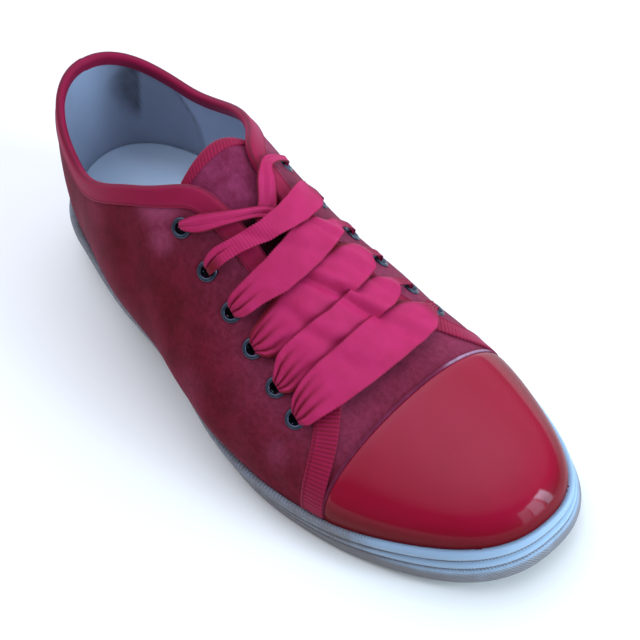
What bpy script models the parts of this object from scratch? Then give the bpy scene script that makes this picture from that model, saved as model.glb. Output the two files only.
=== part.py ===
"""Low-top sneaker, right shoe: cupsole, insole, lasted upper, toe cap, tongue, bindings, eyelets and ribbon lace.

+X runs from heel to toe, +Y to the inner (medial) side and +Z up. The origin is on the floor, in the
middle of the footprint. Sizes below are in millimetres; the meshes are in metres.
"""

import math

import bmesh
import bpy
import numpy as np
from mathutils import Matrix, Vector

MM = 0.001

# Driving dimensions
LENGTH = 292.0          # outsole, heel to toe
LIP = 3.6               # width of the cupsole's lip beside the upper
TOE_FLARE = 3.0         # how far the toe bumper stands out before the lip
GAP = 0.35              # clearance between neighbouring pieces
WALL = 1.8              # suede and lining together
HEEL_ROUND = 38.0       # length over which the heel's plan is rounded
TOE_ROUND = 68.0        # and the toe's
HEEL_POWER = 2.2        # how square these roundings are: 2 is an ellipse
TOE_POWER = 2.3
CAP_POWER = 2.6         # and the toe's, seen from the side
HEEL_CURVE = 0.0058     # how far the heel's back line bows out, for each squared millimetre of height
HEEL_UPRIGHT = 72.0     # height at which it is back above the feather line
FLOOR_HEEL = 20.0       # top of the cupsole's floor under the heel
FLOOR_TOE = 7.5         # and under the forefoot
TOE_SPRING = 9.0        # lift of the sole's tip
SPRING_START = 0.74     # share of the length where the toe spring begins
ARCH_RISE = 1.2         # lift of the sole's underside at the waist
ARCH_START = 0.27       # shares of the length between which it is lifted
ARCH_END = 0.60

# One row for each section across the last, heel to toe.
# at: share of the length. lateral, medial: half widths of the upper at the sole. feather: height of the
# line where the upper meets the sole. crown: height of the section's top. ridge: sideways place of that
# top, towards the inner side. full: how full the wall is in the middle, as a share of the half width.
# swell: how far its lower part bulges over the sole. wall: how high it stays upright. shoulder: how far out
# the section stays level with its top.
SECTION_COLUMNS = ("at", "lateral", "medial", "feather", "crown", "ridge", "full", "swell", "wall", "shoulder")
SECTIONS = (
    (0.00, 29.0, 29.0, 25.0, 112.0, 0.0, 0.03, 0.0, 0.52, 0.68),
    (0.14, 37.0, 33.5, 23.7, 112.0, 0.0, 0.02, 1.0, 0.52, 0.68),
    (0.28, 45.5, 39.0, 21.5, 110.0, 0.0, 0.06, 5.5, 0.52, 0.60),
    (0.41, 49.5, 36.0, 19.5, 97.0, 0.0, 0.07, 7.0, 0.51, 0.48),
    (0.54, 58.5, 40.0, 16.2, 74.0, 0.5, 0.06, 5.0, 0.50, 0.44),
    (0.67, 60.5, 46.0, 14.0, 53.0, 1.0, 0.03, 0.0, 0.50, 0.52),
    (0.78, 54.0, 43.5, 15.5, 45.0, 1.0, 0.02, 0.0, 0.54, 0.57),
    (0.88, 46.5, 38.0, 20.3, 44.0, 1.0, 0.02, 0.0, 0.59, 0.58),
    (1.00, 42.0, 35.0, 27.3, 51.5, 1.0, 0.03, 0.0, 0.59, 0.58),
)

# Edge of the collar: share of the length, and height on the outer and the inner side
COLLAR_COLUMNS = ("at", "lateral", "medial")
COLLAR = (
    (0.00, 88.5, 87.5),
    (0.08, 79.0, 80.5),
    (0.16, 72.5, 73.5),
    (0.24, 79.0, 77.5),
    (0.32, 92.0, 89.5),
    (0.38, 99.0, 98.0),
    (0.46, 112.0, 112.0),
)
# Edge of the facing beside the throat: share of the length, and distance from the middle on each side
FACING_COLUMNS = ("at", "lateral", "medial")
FACING = (
    (0.33, 24.0, 19.0),
    (0.41, 15.0, 6.5),
    (0.46, 12.5, 3.8),
    (0.53, 13.0, 6.0),
    (0.60, 15.0, 11.0),
    (0.67, 21.0, 19.0),
)
THROAT_CLOSE = (187.0, 201.0)   # the shell's own opening closes between these distances from the heel
SWELL_INNER = 0.8       # the swell on the inner side, as a share of the outer one
CORNER_FROM = 45.0      # distance from the heel where collar and facing begin to share the edge
CORNER = 8.0            # the higher, the sharper the corner between them

# Quarter's front edge: distance from the heel, and share of the way from the sole to the facing's edge
FRONT_EDGE = ((195.5, 1.0), (202.0, 0.965), (206.5, 0.88), (211.5, 0.77), (216.0, 0.62), (219.3, 0.42),
              (221.3, 0.20), (222.0, 0.03))
CAP_SEAM = (221.0, 223.0)       # toe cap's seam: distance from the heel on the crown and at the sole
CAP_LOW = 0.03          # share of the way up at which the cap ends above the lip
CAP_THICK = 1.0
CAP_CLEAR = 0.15        # extra clearance under the cap, for the flats of the two curved pieces
BINDING_WIDTH = 7.5
BINDING_FRONT = 10.0    # its width on the quarters' front edges
BINDING_THICK = 0.8

EYELET_X = (118.0, 135.6, 152.0, 166.4, 182.0, 195.0)    # distance of each pair from the heel, the top pair first
EYELET_ROWS = {-1: (29.5, 42.5), 1: (24.0, 34.0)}   # distance of the first and last from the middle, by side
EYELET_HOLE = 2.5
EYELET_BARREL = 3.1
EYELET_FLANGE = 4.6
EYELET_PROUD = 1.0
EYELET_UNDER = 0.6      # how far the barrel ends under the wall

TONGUE = (108.5, 216.0)  # distances of the tongue's two ends from the heel
TONGUE_HALF = 27.0
TONGUE_BEND = 116.0     # above this place it dips towards the foot
TONGUE_THICK = 3.0

# Steps up the sole's side: share of its height, distance in from the outline, and share of the taper taken
SIDE_STEPS = (
    (0.00, 1.6, 1.00), (0.05, 0.3, 1.00), (0.10, 0.0, 0.95), (0.43, 0.0, 0.55),
    (0.46, 0.9, 0.50), (0.50, 0.9, 0.45), (0.53, 0.0, 0.40), (0.67, 0.0, 0.25),
    (0.70, 1.0, 0.20), (0.76, 1.0, 0.12), (0.79, 0.0, 0.05), (0.95, 0.1, 0.00), (1.00, 0.9, 0.00),
)
# How far the lower edge of the sole lies inside its lip: share of the length, outer and inner side
TAPER_COLUMNS = ("at", "lateral", "medial")
TAPER = (
    (0.00, 2.0, 1.0), (0.15, 4.0, 3.0), (0.33, 5.3, 7.0), (0.50, 4.4, 6.5),
    (0.66, 2.0, 0.0), (0.84, 0.0, -4.0), (1.00, -2.0, -5.5),
)
TREAD = ((26.0, 66.0, 9.5), (176.0, 242.0, 8.5))    # cross grooves: first, last and their pitch
TREAD_GROOVE = 3.0
TREAD_DEPTH = 1.5
TREAD_MARGIN = 8.0
INSOLE_STEPS = ((1.0, 0.0), (0.0, 0.8), (0.0, 3.7), (0.9, 4.5))     # distance in, and height
INSOLE_WEDGE = 0.85     # the footbed is thicker under the heel by this share

# Lace from an eyelet to the middle: distance from the eyelet, height over the upper, and the shares of the
# bar's width and sag that it has there
LACE_STEPS = ((0.0, -0.6, 0.17, 0.0), (0.6, 1.3, 0.17, 0.0), (2.4, 2.8, 0.28, 0.08), (5.0, 3.3, 0.55, 0.30),
              (9.0, 3.6, 0.82, 0.60), (14.0, 3.8, 0.95, 0.82), (20.0, 3.9, 1.0, 0.95), (0.0, 3.9, 1.0, 1.0))
# Each bar's sag towards the toe in the middle of the throat, and its width, from the top one down
LACE_BARS = ((8.3, 13.8), (4.3, 16.8), (4.3, 19.0), (3.1, 20.0), (4.5, 20.5))
LACE_THICK = 1.2
LACE_TILT = 0.035       # each bar lies over the next one towards the toe
# The two loose ends: distance from the heel, place across from -1 at the outer to 1 at the inner
# eyelet, height over the upper, and width
END_THICK = 0.8
END_COLUMNS = ("at", "across", "height", "width")
LATERAL_END = (
    (118.0, -1.00, -0.6, 3.0), (118.2, -0.985, 1.3, 3.0), (118.9, -0.95, 2.7, 4.5), (120.8, -0.89, 3.3, 6.5),
    (124.0, -0.79, 3.4, 7.8), (127.8, -0.65, 3.3, 7.8), (131.2, -0.51, 2.9, 7.8), (134.2, -0.37, 1.9, 7.8),
    (136.8, -0.23, 1.2, 7.8), (139.6, -0.10, 0.9, 7.8), (143.0, -0.01, 0.7, 7.8), (147.0, 0.03, 0.5, 7.8),
    (151.0, 0.04, 0.3, 7.5),
)
MEDIAL_END = (
    (118.0, 1.00, -0.6, 3.0), (118.1, 0.985, 1.3, 3.0), (118.4, 0.94, 2.7, 4.0), (119.6, 0.82, 3.0, 5.5),
    (121.4, 0.62, 3.0, 6.5), (123.3, 0.42, 3.1, 7.2), (126.0, 0.29, 2.8, 7.8), (129.5, 0.20, 2.0, 7.8),
    (133.5, 0.10, 0.6, 7.8), (137.5, -0.03, -0.3, 7.8), (141.5, -0.18, -0.7, 7.6), (145.0, -0.30, -0.8, 7.4),
)

# How finely the curved pieces are divided
SOLE_STATIONS = 29
QUARTER_STATIONS = (3.6, 4.8, 8.0, 13.0, 19.5, 27.5, 36.5, 46.0, 56.0, 66.0, 75.5, 84.0, 91.5, 98.0, 103.5, 108.5,
                    113.5, 119.0, 126.0, 134.0, 143.0, 152.0, 161.0, 170.0, 179.0)
VAMP_STATIONS = 13
UPPER_ROWS = 10
EYELET_STEPS = 10

# Material name, colour, roughness and metallic share
WHITE_RUBBER = ("white_rubber", (0.72, 0.74, 0.76), 0.55)
FOOTBED = ("footbed_fabric", (0.55, 0.62, 0.72), 0.85)
SUEDE = ("burgundy_suede", (0.13, 0.010, 0.028), 0.85)
PATENT = ("red_patent", (0.24, 0.004, 0.020), 0.12)
RIBBON = ("red_ribbon", (0.36, 0.016, 0.075), 0.60)
GUNMETAL = ("gunmetal", (0.035, 0.040, 0.060), 0.30, 0.9)
CUTTER = ("cutter", (0.5, 0.5, 0.5), 0.5)

WELD = 0.002            # points nearer than this become one


def columns(names, rows):
    """Return the table's columns by name, as arrays."""
    return dict(zip(names, np.array(rows, float).T))


def spline(xs, ys):
    """Return the natural cubic spline through the points, as a function of arrays."""
    xs, ys = np.asarray(xs, float), np.asarray(ys, float)
    h = np.diff(xs)
    end = len(xs) - 1
    system, target = np.zeros((end + 1, end + 1)), np.zeros(end + 1)
    system[0, 0] = system[end, end] = 1.0
    for i in range(1, end):
        system[i, i - 1:i + 2] = h[i - 1], 2.0 * (h[i - 1] + h[i]), h[i]
        target[i] = 6.0 * ((ys[i + 1] - ys[i]) / h[i] - (ys[i] - ys[i - 1]) / h[i - 1])
    bend = np.linalg.solve(system, target)

    def value(x):
        x = np.asarray(x, float)
        i = np.clip(np.searchsorted(xs, x) - 1, 0, end - 1)
        left, right = x - xs[i], xs[i + 1] - x
        cubic = (bend[i] * right ** 3 + bend[i + 1] * left ** 3) / (6.0 * h[i])
        return (cubic + (ys[i] / h[i] - bend[i] * h[i] / 6.0) * right
                + (ys[i + 1] / h[i] - bend[i + 1] * h[i] / 6.0) * left)

    return value


def splines(names, rows):
    """Return one spline along the shoe for each column after the first."""
    table = columns(names, rows)
    return {name: spline(table["at"] * LENGTH, table[name]) for name in names[1:]}


last = splines(SECTION_COLUMNS, SECTIONS)
taper = splines(TAPER_COLUMNS, TAPER)
rim = splines(COLLAR_COLUMNS, COLLAR)
collar = {-1: rim["lateral"], 1: rim["medial"]}
gap = splines(FACING_COLUMNS, FACING)
facing = {-1: gap["lateral"], 1: gap["medial"]}

UPPER_START = LIP
UPPER_END = LENGTH - TOE_FLARE - LIP
HEEL_ARC = HEEL_ROUND * math.pi / 2.0
TOE_ARC = TOE_ROUND * math.pi / 2.0
U_END = HEEL_ARC + (UPPER_END - UPPER_START - HEEL_ROUND - TOE_ROUND) + TOE_ARC


def x_of(u):
    """Distance along the shoe for a walk u along its side, from the heel's back line to the toe's tip."""
    u = np.abs(u)
    heel = UPPER_START + HEEL_ROUND * (1.0 - np.cos(np.minimum(u, HEEL_ARC) / HEEL_ROUND))
    toe_walk = np.clip(u - (U_END - TOE_ARC), 0.0, TOE_ARC)
    toe = UPPER_END - TOE_ROUND + TOE_ROUND * np.sin(toe_walk / TOE_ROUND)
    straight = UPPER_START + HEEL_ROUND + (u - HEEL_ARC)
    return np.where(u < HEEL_ARC, heel, np.where(toe_walk > 0.0, toe, straight))


def u_of(x):
    """The walk along the side that reaches the distance x: the inverse of x_of."""
    x = np.clip(np.asarray(x, float), UPPER_START, UPPER_END)
    heel = HEEL_ROUND * np.arccos(np.clip(1.0 - (x - UPPER_START) / HEEL_ROUND, -1.0, 1.0))
    toe_share = np.clip((x - (UPPER_END - TOE_ROUND)) / TOE_ROUND, 0.0, 1.0)
    toe = U_END - TOE_ARC + TOE_ROUND * np.arcsin(toe_share)
    straight = HEEL_ARC + x - UPPER_START - HEEL_ROUND
    return np.where(x < UPPER_START + HEEL_ROUND, heel, np.where(toe_share > 0.0, toe, straight))


def plan_round(x, start, end):
    """Share of the half width left by the rounding of heel and toe: a superellipse at each end."""
    heel = np.clip((start + HEEL_ROUND - x) / HEEL_ROUND, 0.0, 1.0)
    toe = np.clip((x - (end - TOE_ROUND)) / TOE_ROUND, 0.0, 1.0)
    return (1.0 - heel ** HEEL_POWER) ** (1.0 / HEEL_POWER) * (1.0 - toe ** TOE_POWER) ** (1.0 / TOE_POWER)


def underside(x):
    """Height of the sole's underside: flat at heel and ball, lifted at the waist and the toe."""
    spring = TOE_SPRING * np.clip((x / LENGTH - SPRING_START) / (1.0 - SPRING_START), 0.0, 1.0) ** 2
    waist = np.clip((x / LENGTH - ARCH_START) / (ARCH_END - ARCH_START), 0.0, 1.0)
    return spring + ARCH_RISE * np.sin(math.pi * waist) ** 2


def floor_drop(x):
    """Share of the step down from heel to forefoot that is taken at the distance x."""
    return 0.5 - 0.5 * np.cos(math.pi * np.clip((x / LENGTH - ARCH_START) / 0.4, 0.0, 1.0))


def cup_floor(x):
    """Height of the floor inside the cupsole, which steps down from heel to forefoot."""
    return FLOOR_HEEL + (FLOOR_TOE - FLOOR_HEEL) * floor_drop(x) + underside(x)


def upper_point(u, t, side):
    """The upper's outer surface at the walk u and the share t of the way from the sole to the crown.

    side is -1 on the outer and 1 on the inner side, and a negative walk changes over to the other one.
    Each half section is a cubic curve that leaves the feather line nearly upright and turns level at the
    crown, with a swell over the sole. Heel and toe round the half width, and the toe the height too.
    Below the feather line, t from 0 to -1 runs straight down into the cupsole.
    """
    u, t, side = np.broadcast_arrays(np.asarray(u, float), np.asarray(t, float), side)
    side = np.where(u < 0.0, -side, side)
    x = x_of(u)
    rounding = plan_round(x, UPPER_START, UPPER_END)
    half = np.where(side < 0, last["lateral"](x), last["medial"](x)) * rounding
    ridge = last["ridge"](x) * rounding * side
    toe = np.clip((x - (UPPER_END - TOE_ROUND)) / TOE_ROUND, 0.0, 1.0)
    feather = last["feather"](x)
    rise = (last["crown"](x) - feather) * (1.0 - toe ** CAP_POWER) ** 0.5
    up = np.clip(t, 0.0, 1.0)
    b0, b1, b2, b3 = (1.0 - up) ** 3, 3.0 * up * (1.0 - up) ** 2, 3.0 * up ** 2 * (1.0 - up), up ** 3
    shoulder = ridge + last["shoulder"](x) * (half - ridge)
    level = b1 * last["wall"](x) + b2 + b3
    swell = last["swell"](x) * rounding * np.where(side < 0, 1.0, SWELL_INNER) * 9.5 * level * (1.0 - level) ** 3
    across = b0 * half + b1 * half * (1.0 + last["full"](x)) + b2 * shoulder + b3 * ridge + swell
    height = feather + rise * level
    heel = np.clip((UPPER_START + HEEL_ROUND - x) / HEEL_ROUND, 0.0, 1.0) ** 1.5
    lean = heel * HEEL_CURVE * (height - feather) * (height - HEEL_UPRIGHT)
    height = height + np.clip(t, -1.0, 0.0) * (feather - cup_floor(x) - GAP)
    return np.stack([x + lean, side * across, height], axis=-1)


def upper_frame(u, t, side):
    """Return the point, the outward normal and the two slopes of the outer surface."""
    step_u, step_t = 0.05, 0.0005
    inner_t = np.clip(t, step_t, 1.0 - step_t)
    inner_u = np.clip(u, 0.3 - U_END, U_END - 0.3)
    along = upper_point(inner_u + step_u, inner_t, side) - upper_point(inner_u - step_u, inner_t, side)
    rising = upper_point(inner_u, inner_t + step_t, side) - upper_point(inner_u, inner_t - step_t, side)
    normal = np.cross(along, rising) * -np.asarray(side, float)[..., None]
    normal /= np.linalg.norm(normal, axis=-1, keepdims=True)
    return upper_point(u, t, side), normal, along / (2.0 * step_u), rising / (2.0 * step_t)


def off_upper(u, t, side, distance):
    """The point that far outside the upper's outer surface, or inside it where it is negative."""
    point, normal, _, _ = upper_frame(u, t, side)
    return point + normal * np.asarray(distance, float)[..., None]


def share_at(inside, u, side):
    """The highest share t that the test calls inside, found by halving."""
    low, high = np.zeros_like(u), np.ones_like(u)
    for _ in range(24):
        middle = (low + high) / 2.0
        kept = inside(upper_point(u, middle, side))
        low, high = np.where(kept, middle, low), np.where(kept, high, middle)
    return (low + high) / 2.0


def half_share(u, side, half):
    """Share t at which the surface is that far from the middle, sideways."""
    return share_at(lambda p: side * p[..., 1] > half, u, side)


def edge_share(u, side):
    """Share t of the quarter's top edge: the collar, its rounded corner and the facing."""
    x = x_of(u)
    height = collar[side](np.minimum(x, COLLAR[-1][0] * LENGTH))
    by_collar = share_at(lambda p: p[..., 2] < height, u, side)
    start, end = FACING[0][0] * LENGTH, FACING[-1][0] * LENGTH
    by_facing = half_share(u, side, facing[side](np.clip(x, start, end)))
    rounded = -np.log(np.exp(-CORNER * by_collar) + np.exp(-CORNER * by_facing)) / CORNER
    return np.where(x < CORNER_FROM, by_collar, np.minimum(rounded, by_collar))


def opening_share(u, side):
    """Share t of the shell's edge: as edge_share, then rounded across the throat's lower end."""
    start, end = THROAT_CLOSE
    closing = 1.0 - np.sqrt(1.0 - np.clip((x_of(u) - start) / (end - start), 0.0, 1.0) ** 2)
    share = edge_share(u, side)
    return share + (1.0 - share) * closing


def sole_ring(inset, end_inset, height, taper_share=0.0):
    """A closed ring round the sole, heel to toe on the outer side and back on the inner one.

    inset is the distance inside the lip's outline, end_inset the same at the heel and at the toe, height
    a function of the distance along the shoe, and taper_share how much of the sole's taper is taken.
    """
    start = end_inset[0] + taper_share * taper["lateral"](0.0)
    end = LENGTH - end_inset[1] - (1.0 - taper_share) * TOE_FLARE
    walk = np.linspace(0.0, math.pi, SOLE_STATIONS)
    x = (start + end) / 2.0 - (end - start) / 2.0 * np.cos(walk)
    sides = []
    for side, name in ((-1, "lateral"), (1, "medial")):
        half = last[name](x) + LIP - inset - taper_share * taper[name](x)
        sides.append(np.stack([x, side * half * plan_round(x, start, end), height(x)], axis=-1))
    return np.concatenate([sides[0], sides[1][-2:0:-1]])


def footprint_middle():
    """The middle of the sole's footprint on the floor, which is the object's origin."""
    def flat(x):
        return 0.0 * x

    rings = np.concatenate([sole_ring(inset, (inset, inset), flat, share) for _, inset, share in SIDE_STEPS])
    return (rings.min(axis=0) + rings.max(axis=0)) / 2.0


ORIGIN = footprint_middle()


def new_object(name, vertices, faces, finish):
    """Make a welded, smooth-shaded mesh object from points in millimetres."""
    mesh = bpy.data.meshes.new(name)
    mesh.from_pydata((np.asarray(vertices) - ORIGIN) * MM, [], faces)
    bm = bmesh.new()
    bm.from_mesh(mesh)
    bmesh.ops.remove_doubles(bm, verts=bm.verts, dist=WELD * MM)
    if all(edge.is_manifold for edge in bm.edges):
        bmesh.ops.recalc_face_normals(bm, faces=bm.faces)
    bm.to_mesh(mesh)
    bm.free()
    mesh.shade_smooth()
    mesh.materials.append(material(*finish))
    return bpy.data.objects.new(name, mesh)


def material(name, color, roughness, metallic=0.0):
    """Return the named material, made once."""
    made = bpy.data.materials.get(name)
    if made is None:
        made = bpy.data.materials.new(name)
        made.use_nodes = True
        shader = made.node_tree.nodes["Principled BSDF"]
        shader.inputs["Base Color"].default_value = (*color, 1.0)
        shader.inputs["Roughness"].default_value = roughness
        shader.inputs["Metallic"].default_value = metallic
    return made


def shell(name, surface, thickness, offset, finish):
    """Give a grid of points a wall. offset 1 builds it outwards and -1 inwards.

    The first index runs along the shoe and the second up or across it, so that the faces point outwards.
    """
    rows, cols = surface.shape[:2]
    faces = []
    for row in range(rows - 1):
        for col in range(cols - 1):
            corner = row * cols + col
            faces.append((corner, corner + cols, corner + cols + 1, corner + 1))
    made = new_object(name, surface.reshape(-1, 3), faces, finish)
    wall = made.modifiers.new("wall", "SOLIDIFY")
    wall.thickness = thickness * MM
    wall.offset = offset
    wall.use_even_offset = True
    return made


def ring_stack(name, rings, finish):
    """A solid from rings of equal count, closed at both ends by rungs from side to side."""
    count = len(rings[0])
    half = count // 2
    faces = []
    for level in range(len(rings) - 1):
        for k in range(count):
            after = (k + 1) % count
            low, high = level * count, (level + 1) * count
            faces.append((low + k, low + after, high + after, high + k))
    top = (len(rings) - 1) * count
    for k in range(half):
        near, far = (count - k) % count, count - k - 1
        faces.append((k, near, far, k + 1))
        faces.append((top + k, top + k + 1, top + far, top + near))
    return new_object(name, np.concatenate(rings), faces, finish)


def build_outsole():
    """The cupsole: underside, side with two grooves and a lip, and the cup that holds the upper."""
    def level(share):
        return lambda x: underside(x) + share * (last["feather"](x) - underside(x))

    rings = [sole_ring(inset, (inset, inset), level(share), taper_share)
             for share, inset, taper_share in SIDE_STEPS]
    inside = LIP - GAP
    rings.append(sole_ring(inside, (inside, inside), level(1.0)))
    rings.append(sole_ring(inside, (inside, inside), cup_floor))
    sole = ring_stack("outsole", rings, WHITE_RUBBER)
    cut(sole, "tread_bars", tread_bars())
    return sole


def tread_bars():
    """Cutters for the cross grooves between the sole's lugs, under the heel and the forefoot."""
    bars = bmesh.new()
    for first, last_one, step in TREAD:
        for x in np.arange(first, last_one, step):
            outer, inner = [side * (last[name](x) + LIP - TREAD_MARGIN - taper[name](x))
                            * plan_round(x, 0.0, LENGTH) for side, name in ((-1, "lateral"), (1, "medial"))]
            place = Vector((x, (outer + inner) / 2.0, underside(x) + TREAD_DEPTH / 2.0 - 1.0)) - Vector(ORIGIN)
            size = (TREAD_GROOVE * MM, (inner - outer) * MM, (TREAD_DEPTH + 2.0) * MM)
            bmesh.ops.create_cube(bars, size=1.0, matrix=Matrix.LocRotScale(place * MM, None, size))
    return bars


def cut(target, name, solids):
    """Cut the solids of a bmesh out of the target with a Boolean modifier."""
    mesh = bpy.data.meshes.new(name)
    solids.to_mesh(mesh)
    solids.free()
    mesh.materials.append(material(*CUTTER))
    cutter = bpy.data.objects.new(name, mesh)
    cutter.hide_render = True
    cutter.display_type = "WIRE"
    cutters.objects.link(cutter)
    modifier = target.modifiers.new(name, "BOOLEAN")
    modifier.operation = "DIFFERENCE"
    modifier.object = cutter


def build_insole():
    """The footbed: a soft-edged slab on the cup's floor, raised a little round the heel."""
    inset = LIP + WALL + 2.0 * GAP

    def height(rise):
        return lambda x: cup_floor(x) + GAP + rise * (1.0 + INSOLE_WEDGE * (1.0 - floor_drop(x)))

    rings = [sole_ring(inset + soft, (inset + soft, inset + soft), height(rise))
             for soft, rise in INSOLE_STEPS]
    return ring_stack("insole", rings, FOOTBED)


def upper_walks():
    """Signed walks of the upper's sections, from the toe round the heel and back to the toe."""
    start, end = THROAT_CLOSE
    quarter = u_of(np.array(QUARTER_STATIONS, float))
    closing = u_of(start + (end - start) * np.sin(np.linspace(0.0, math.pi / 2.0, 6)))
    vamp = np.linspace(u_of(end), U_END, VAMP_STATIONS)[1:]
    half = np.concatenate([quarter, closing, vamp])
    return np.concatenate([-half[:0:-1], half])


def build_upper():
    """The lasted shell, open at the collar and the throat and underneath."""
    walks = upper_walks()
    top = np.where(walks < 0.0, opening_share(np.abs(walks), 1), opening_share(np.abs(walks), -1))
    shares = np.concatenate([[-1.0], np.linspace(0.0, 1.0, UPPER_ROWS)])
    t = np.where(shares < 0.0, shares, shares * top[:, None])
    face = upper_point(walks[:, None] + 0.0 * t, t, -1)
    face[[0, -1], :, 1] = 0.0
    upper = shell("upper", face, WALL, -1.0, SUEDE)
    cut(upper, "eyelet_holes", eyelet_holes())
    return upper


def eyelet_share(u, side):
    """Share t of the line through a side's eyelets."""
    first, final = EYELET_ROWS[side]
    along = (x_of(u) - EYELET_X[0]) / (EYELET_X[-1] - EYELET_X[0])
    return half_share(u, side, first + (final - first) * along)


def eyelet_frames():
    """Name, walk, share and side of every eyelet, the top pair first."""
    made = []
    for k, x in enumerate(EYELET_X):
        u = u_of(np.array(x))
        for side, name in ((-1, "lateral"), (1, "medial")):
            made.append((f"eyelet_{name}_{k + 1}", u, eyelet_share(u, side), side))
    return made


def eyelet_matrix(u, t, side):
    """Place an eyelet's own axis, +Z, on the surface's normal."""
    point, normal, along, _ = (np.asarray(part, float) for part in upper_frame(u, t, side))
    axis = Vector(normal)
    ahead = Vector(along / np.linalg.norm(along))
    across = axis.cross(ahead).normalized()
    turn = Matrix((across.cross(axis), across, axis)).transposed().to_4x4()
    return Matrix.Translation(Vector((point - ORIGIN) * MM)) @ turn


def eyelet_holes():
    """Cutters for the eyelets' holes through the upper: one short rod each."""
    rods = bmesh.new()
    for _, u, t, side in eyelet_frames():
        bmesh.ops.create_cone(rods, cap_ends=True, segments=12, radius1=(EYELET_BARREL + GAP) * MM,
                              radius2=(EYELET_BARREL + GAP) * MM, depth=(WALL + 6.0) * MM,
                              matrix=eyelet_matrix(u, t, side) @ Matrix.Translation((0.0, 0.0, -WALL / 2.0 * MM)))
    return rods


def build_eyelets():
    """Turned metal rings: a flange on the leather and a barrel through it."""
    top, seat, foot = EYELET_PROUD, GAP, -WALL - EYELET_UNDER
    outline = ((EYELET_HOLE, top - 0.25), (EYELET_HOLE + 0.5, top), (EYELET_FLANGE - 0.5, top),
               (EYELET_FLANGE, seat), (EYELET_BARREL, seat), (EYELET_BARREL, foot), (EYELET_HOLE, foot))
    mesh = bpy.data.meshes.new("eyelet")
    count = len(outline)
    mesh.from_pydata([(r * MM, 0.0, z * MM) for r, z in outline], [(k, (k + 1) % count) for k in range(count)], [])
    mesh.materials.append(material(*GUNMETAL))
    made = []
    for name, u, t, side in eyelet_frames():
        eyelet = bpy.data.objects.new(name, mesh)
        eyelet.matrix_world = eyelet_matrix(u, t, side)
        screw = eyelet.modifiers.new("turn", "SCREW")
        screw.steps = screw.render_steps = EYELET_STEPS
        screw.use_merge_vertices = True
        screw.merge_threshold = 0.00001
        made.append(eyelet)
    return made


def across_shoe(u, low, rows):
    """Walks, shares and sides of a grid that runs over the crown, from share low on each side."""
    q = np.linspace(-1.0, 1.0, rows)
    side = np.where(q[None, :] < 0.0, -1, 1) * np.ones_like(u)[:, None]
    bottom = np.where(side < 0, low[-1][:, None], low[1][:, None])
    t = 1.0 - np.abs(q)[None, :] * (1.0 - bottom)
    return np.repeat(u[:, None], rows, axis=1), t, side


def build_toe_cap():
    """The patent-leather cap over the toe, laid on the upper's own surface."""
    rows, stations = 17, 10
    q = np.abs(np.linspace(-1.0, 1.0, rows))
    seam = u_of(CAP_SEAM[0] + (CAP_SEAM[1] - CAP_SEAM[0]) * q ** 2.5)
    share = np.linspace(0.0, 1.0, stations)[:, None]
    u = seam + (U_END - seam) * share
    _, t, side = across_shoe(u[:, 0], {-1: np.full(stations, CAP_LOW), 1: np.full(stations, CAP_LOW)}, rows)
    face = off_upper(u, t, side, np.full_like(t, GAP + CAP_CLEAR))
    face[-1] = face[-1].mean(axis=0)
    face[..., 2] = np.maximum(face[..., 2], last["feather"](face[..., 0]) + 2.0 * GAP)
    return shell("toe_cap", face, CAP_THICK, 1.0, PATENT)


def build_tongue():
    """The tongue, under the facings and the vamp and out above them at the collar."""
    x = np.concatenate([[TONGUE[0]], np.linspace(TONGUE[0] + 4.0, TONGUE[1] - 4.0, 11), [TONGUE[1]]])
    u = u_of(x)
    ends = np.minimum((x - TONGUE[0]) / 9.0, (TONGUE[1] - x) / 14.0)
    half = TONGUE_HALF * (0.80 + 0.20 * np.clip(ends, 0.0, 1.0) ** 0.5)
    low = {side: half_share(u, side, half) for side in (-1, 1)}
    walk, t, side = across_shoe(u, low, 11)
    dip = 2.0 * np.clip((TONGUE_BEND - x) / 20.0, 0.0, 2.0)[:, None] ** 2
    face = off_upper(walk, t, side, -(dip + 0.0 * t) - WALL - EYELET_UNDER - GAP)
    return shell("tongue", face, TONGUE_THICK, -1.0, SUEDE)


def binding_path():
    """Signed walks and shares along the quarters' edge: up one front, round the heel and down the other."""
    knots = np.array(FRONT_EDGE)
    pace = np.arange(len(knots), dtype=float)
    fine = np.linspace(0.0, pace[-1], 11)
    front_x, front_t = spline(pace, knots[:, 0])(fine), spline(pace, knots[:, 1])(fine)
    quarter = u_of(np.array(QUARTER_STATIONS + (187.0,)))
    front = u_of(front_x)
    walks = np.concatenate([quarter, front])
    halves = []
    for side in (-1, 1):
        t = np.concatenate([edge_share(quarter, side), front_t * edge_share(front[:1], side)])
        halves.append(np.stack([-side * walks, t], axis=-1))
    return np.concatenate([halves[1][:0:-1], halves[0]])


def build_binding():
    """The ribbon sewn along the collar, the facings and the quarters' front edges, as one strip."""
    path = binding_path()
    u, t = path[:, 0], path[:, 1]
    point, normal, along, rising = upper_frame(u, t, -1)
    run = np.gradient(point, axis=0)
    inward = np.cross(normal, run)
    inward /= np.linalg.norm(inward, axis=-1, keepdims=True)
    inward *= -np.sign(inward[len(inward) // 2, 2])
    a, b, c = (along ** 2).sum(-1), (along * rising).sum(-1), (rising ** 2).sum(-1)
    d, e = (inward * along).sum(-1), (inward * rising).sum(-1)
    det = a * c - b * b
    width = np.interp(x_of(u), (190.0, 198.0), (BINDING_WIDTH, BINDING_FRONT))
    span = width[:, None] * np.linspace(1.0, 0.0, 3)[None, :]
    walk = u[:, None] + span * ((d * c - e * b) / det)[:, None]
    share = np.clip(t[:, None] + span * ((e * a - d * b) / det)[:, None], 0.02, 1.0)
    face = off_upper(walk, share, -1, np.full_like(walk, GAP))
    return shell("collar_binding", face, BINDING_THICK, 1.0, RIBBON)


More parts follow.
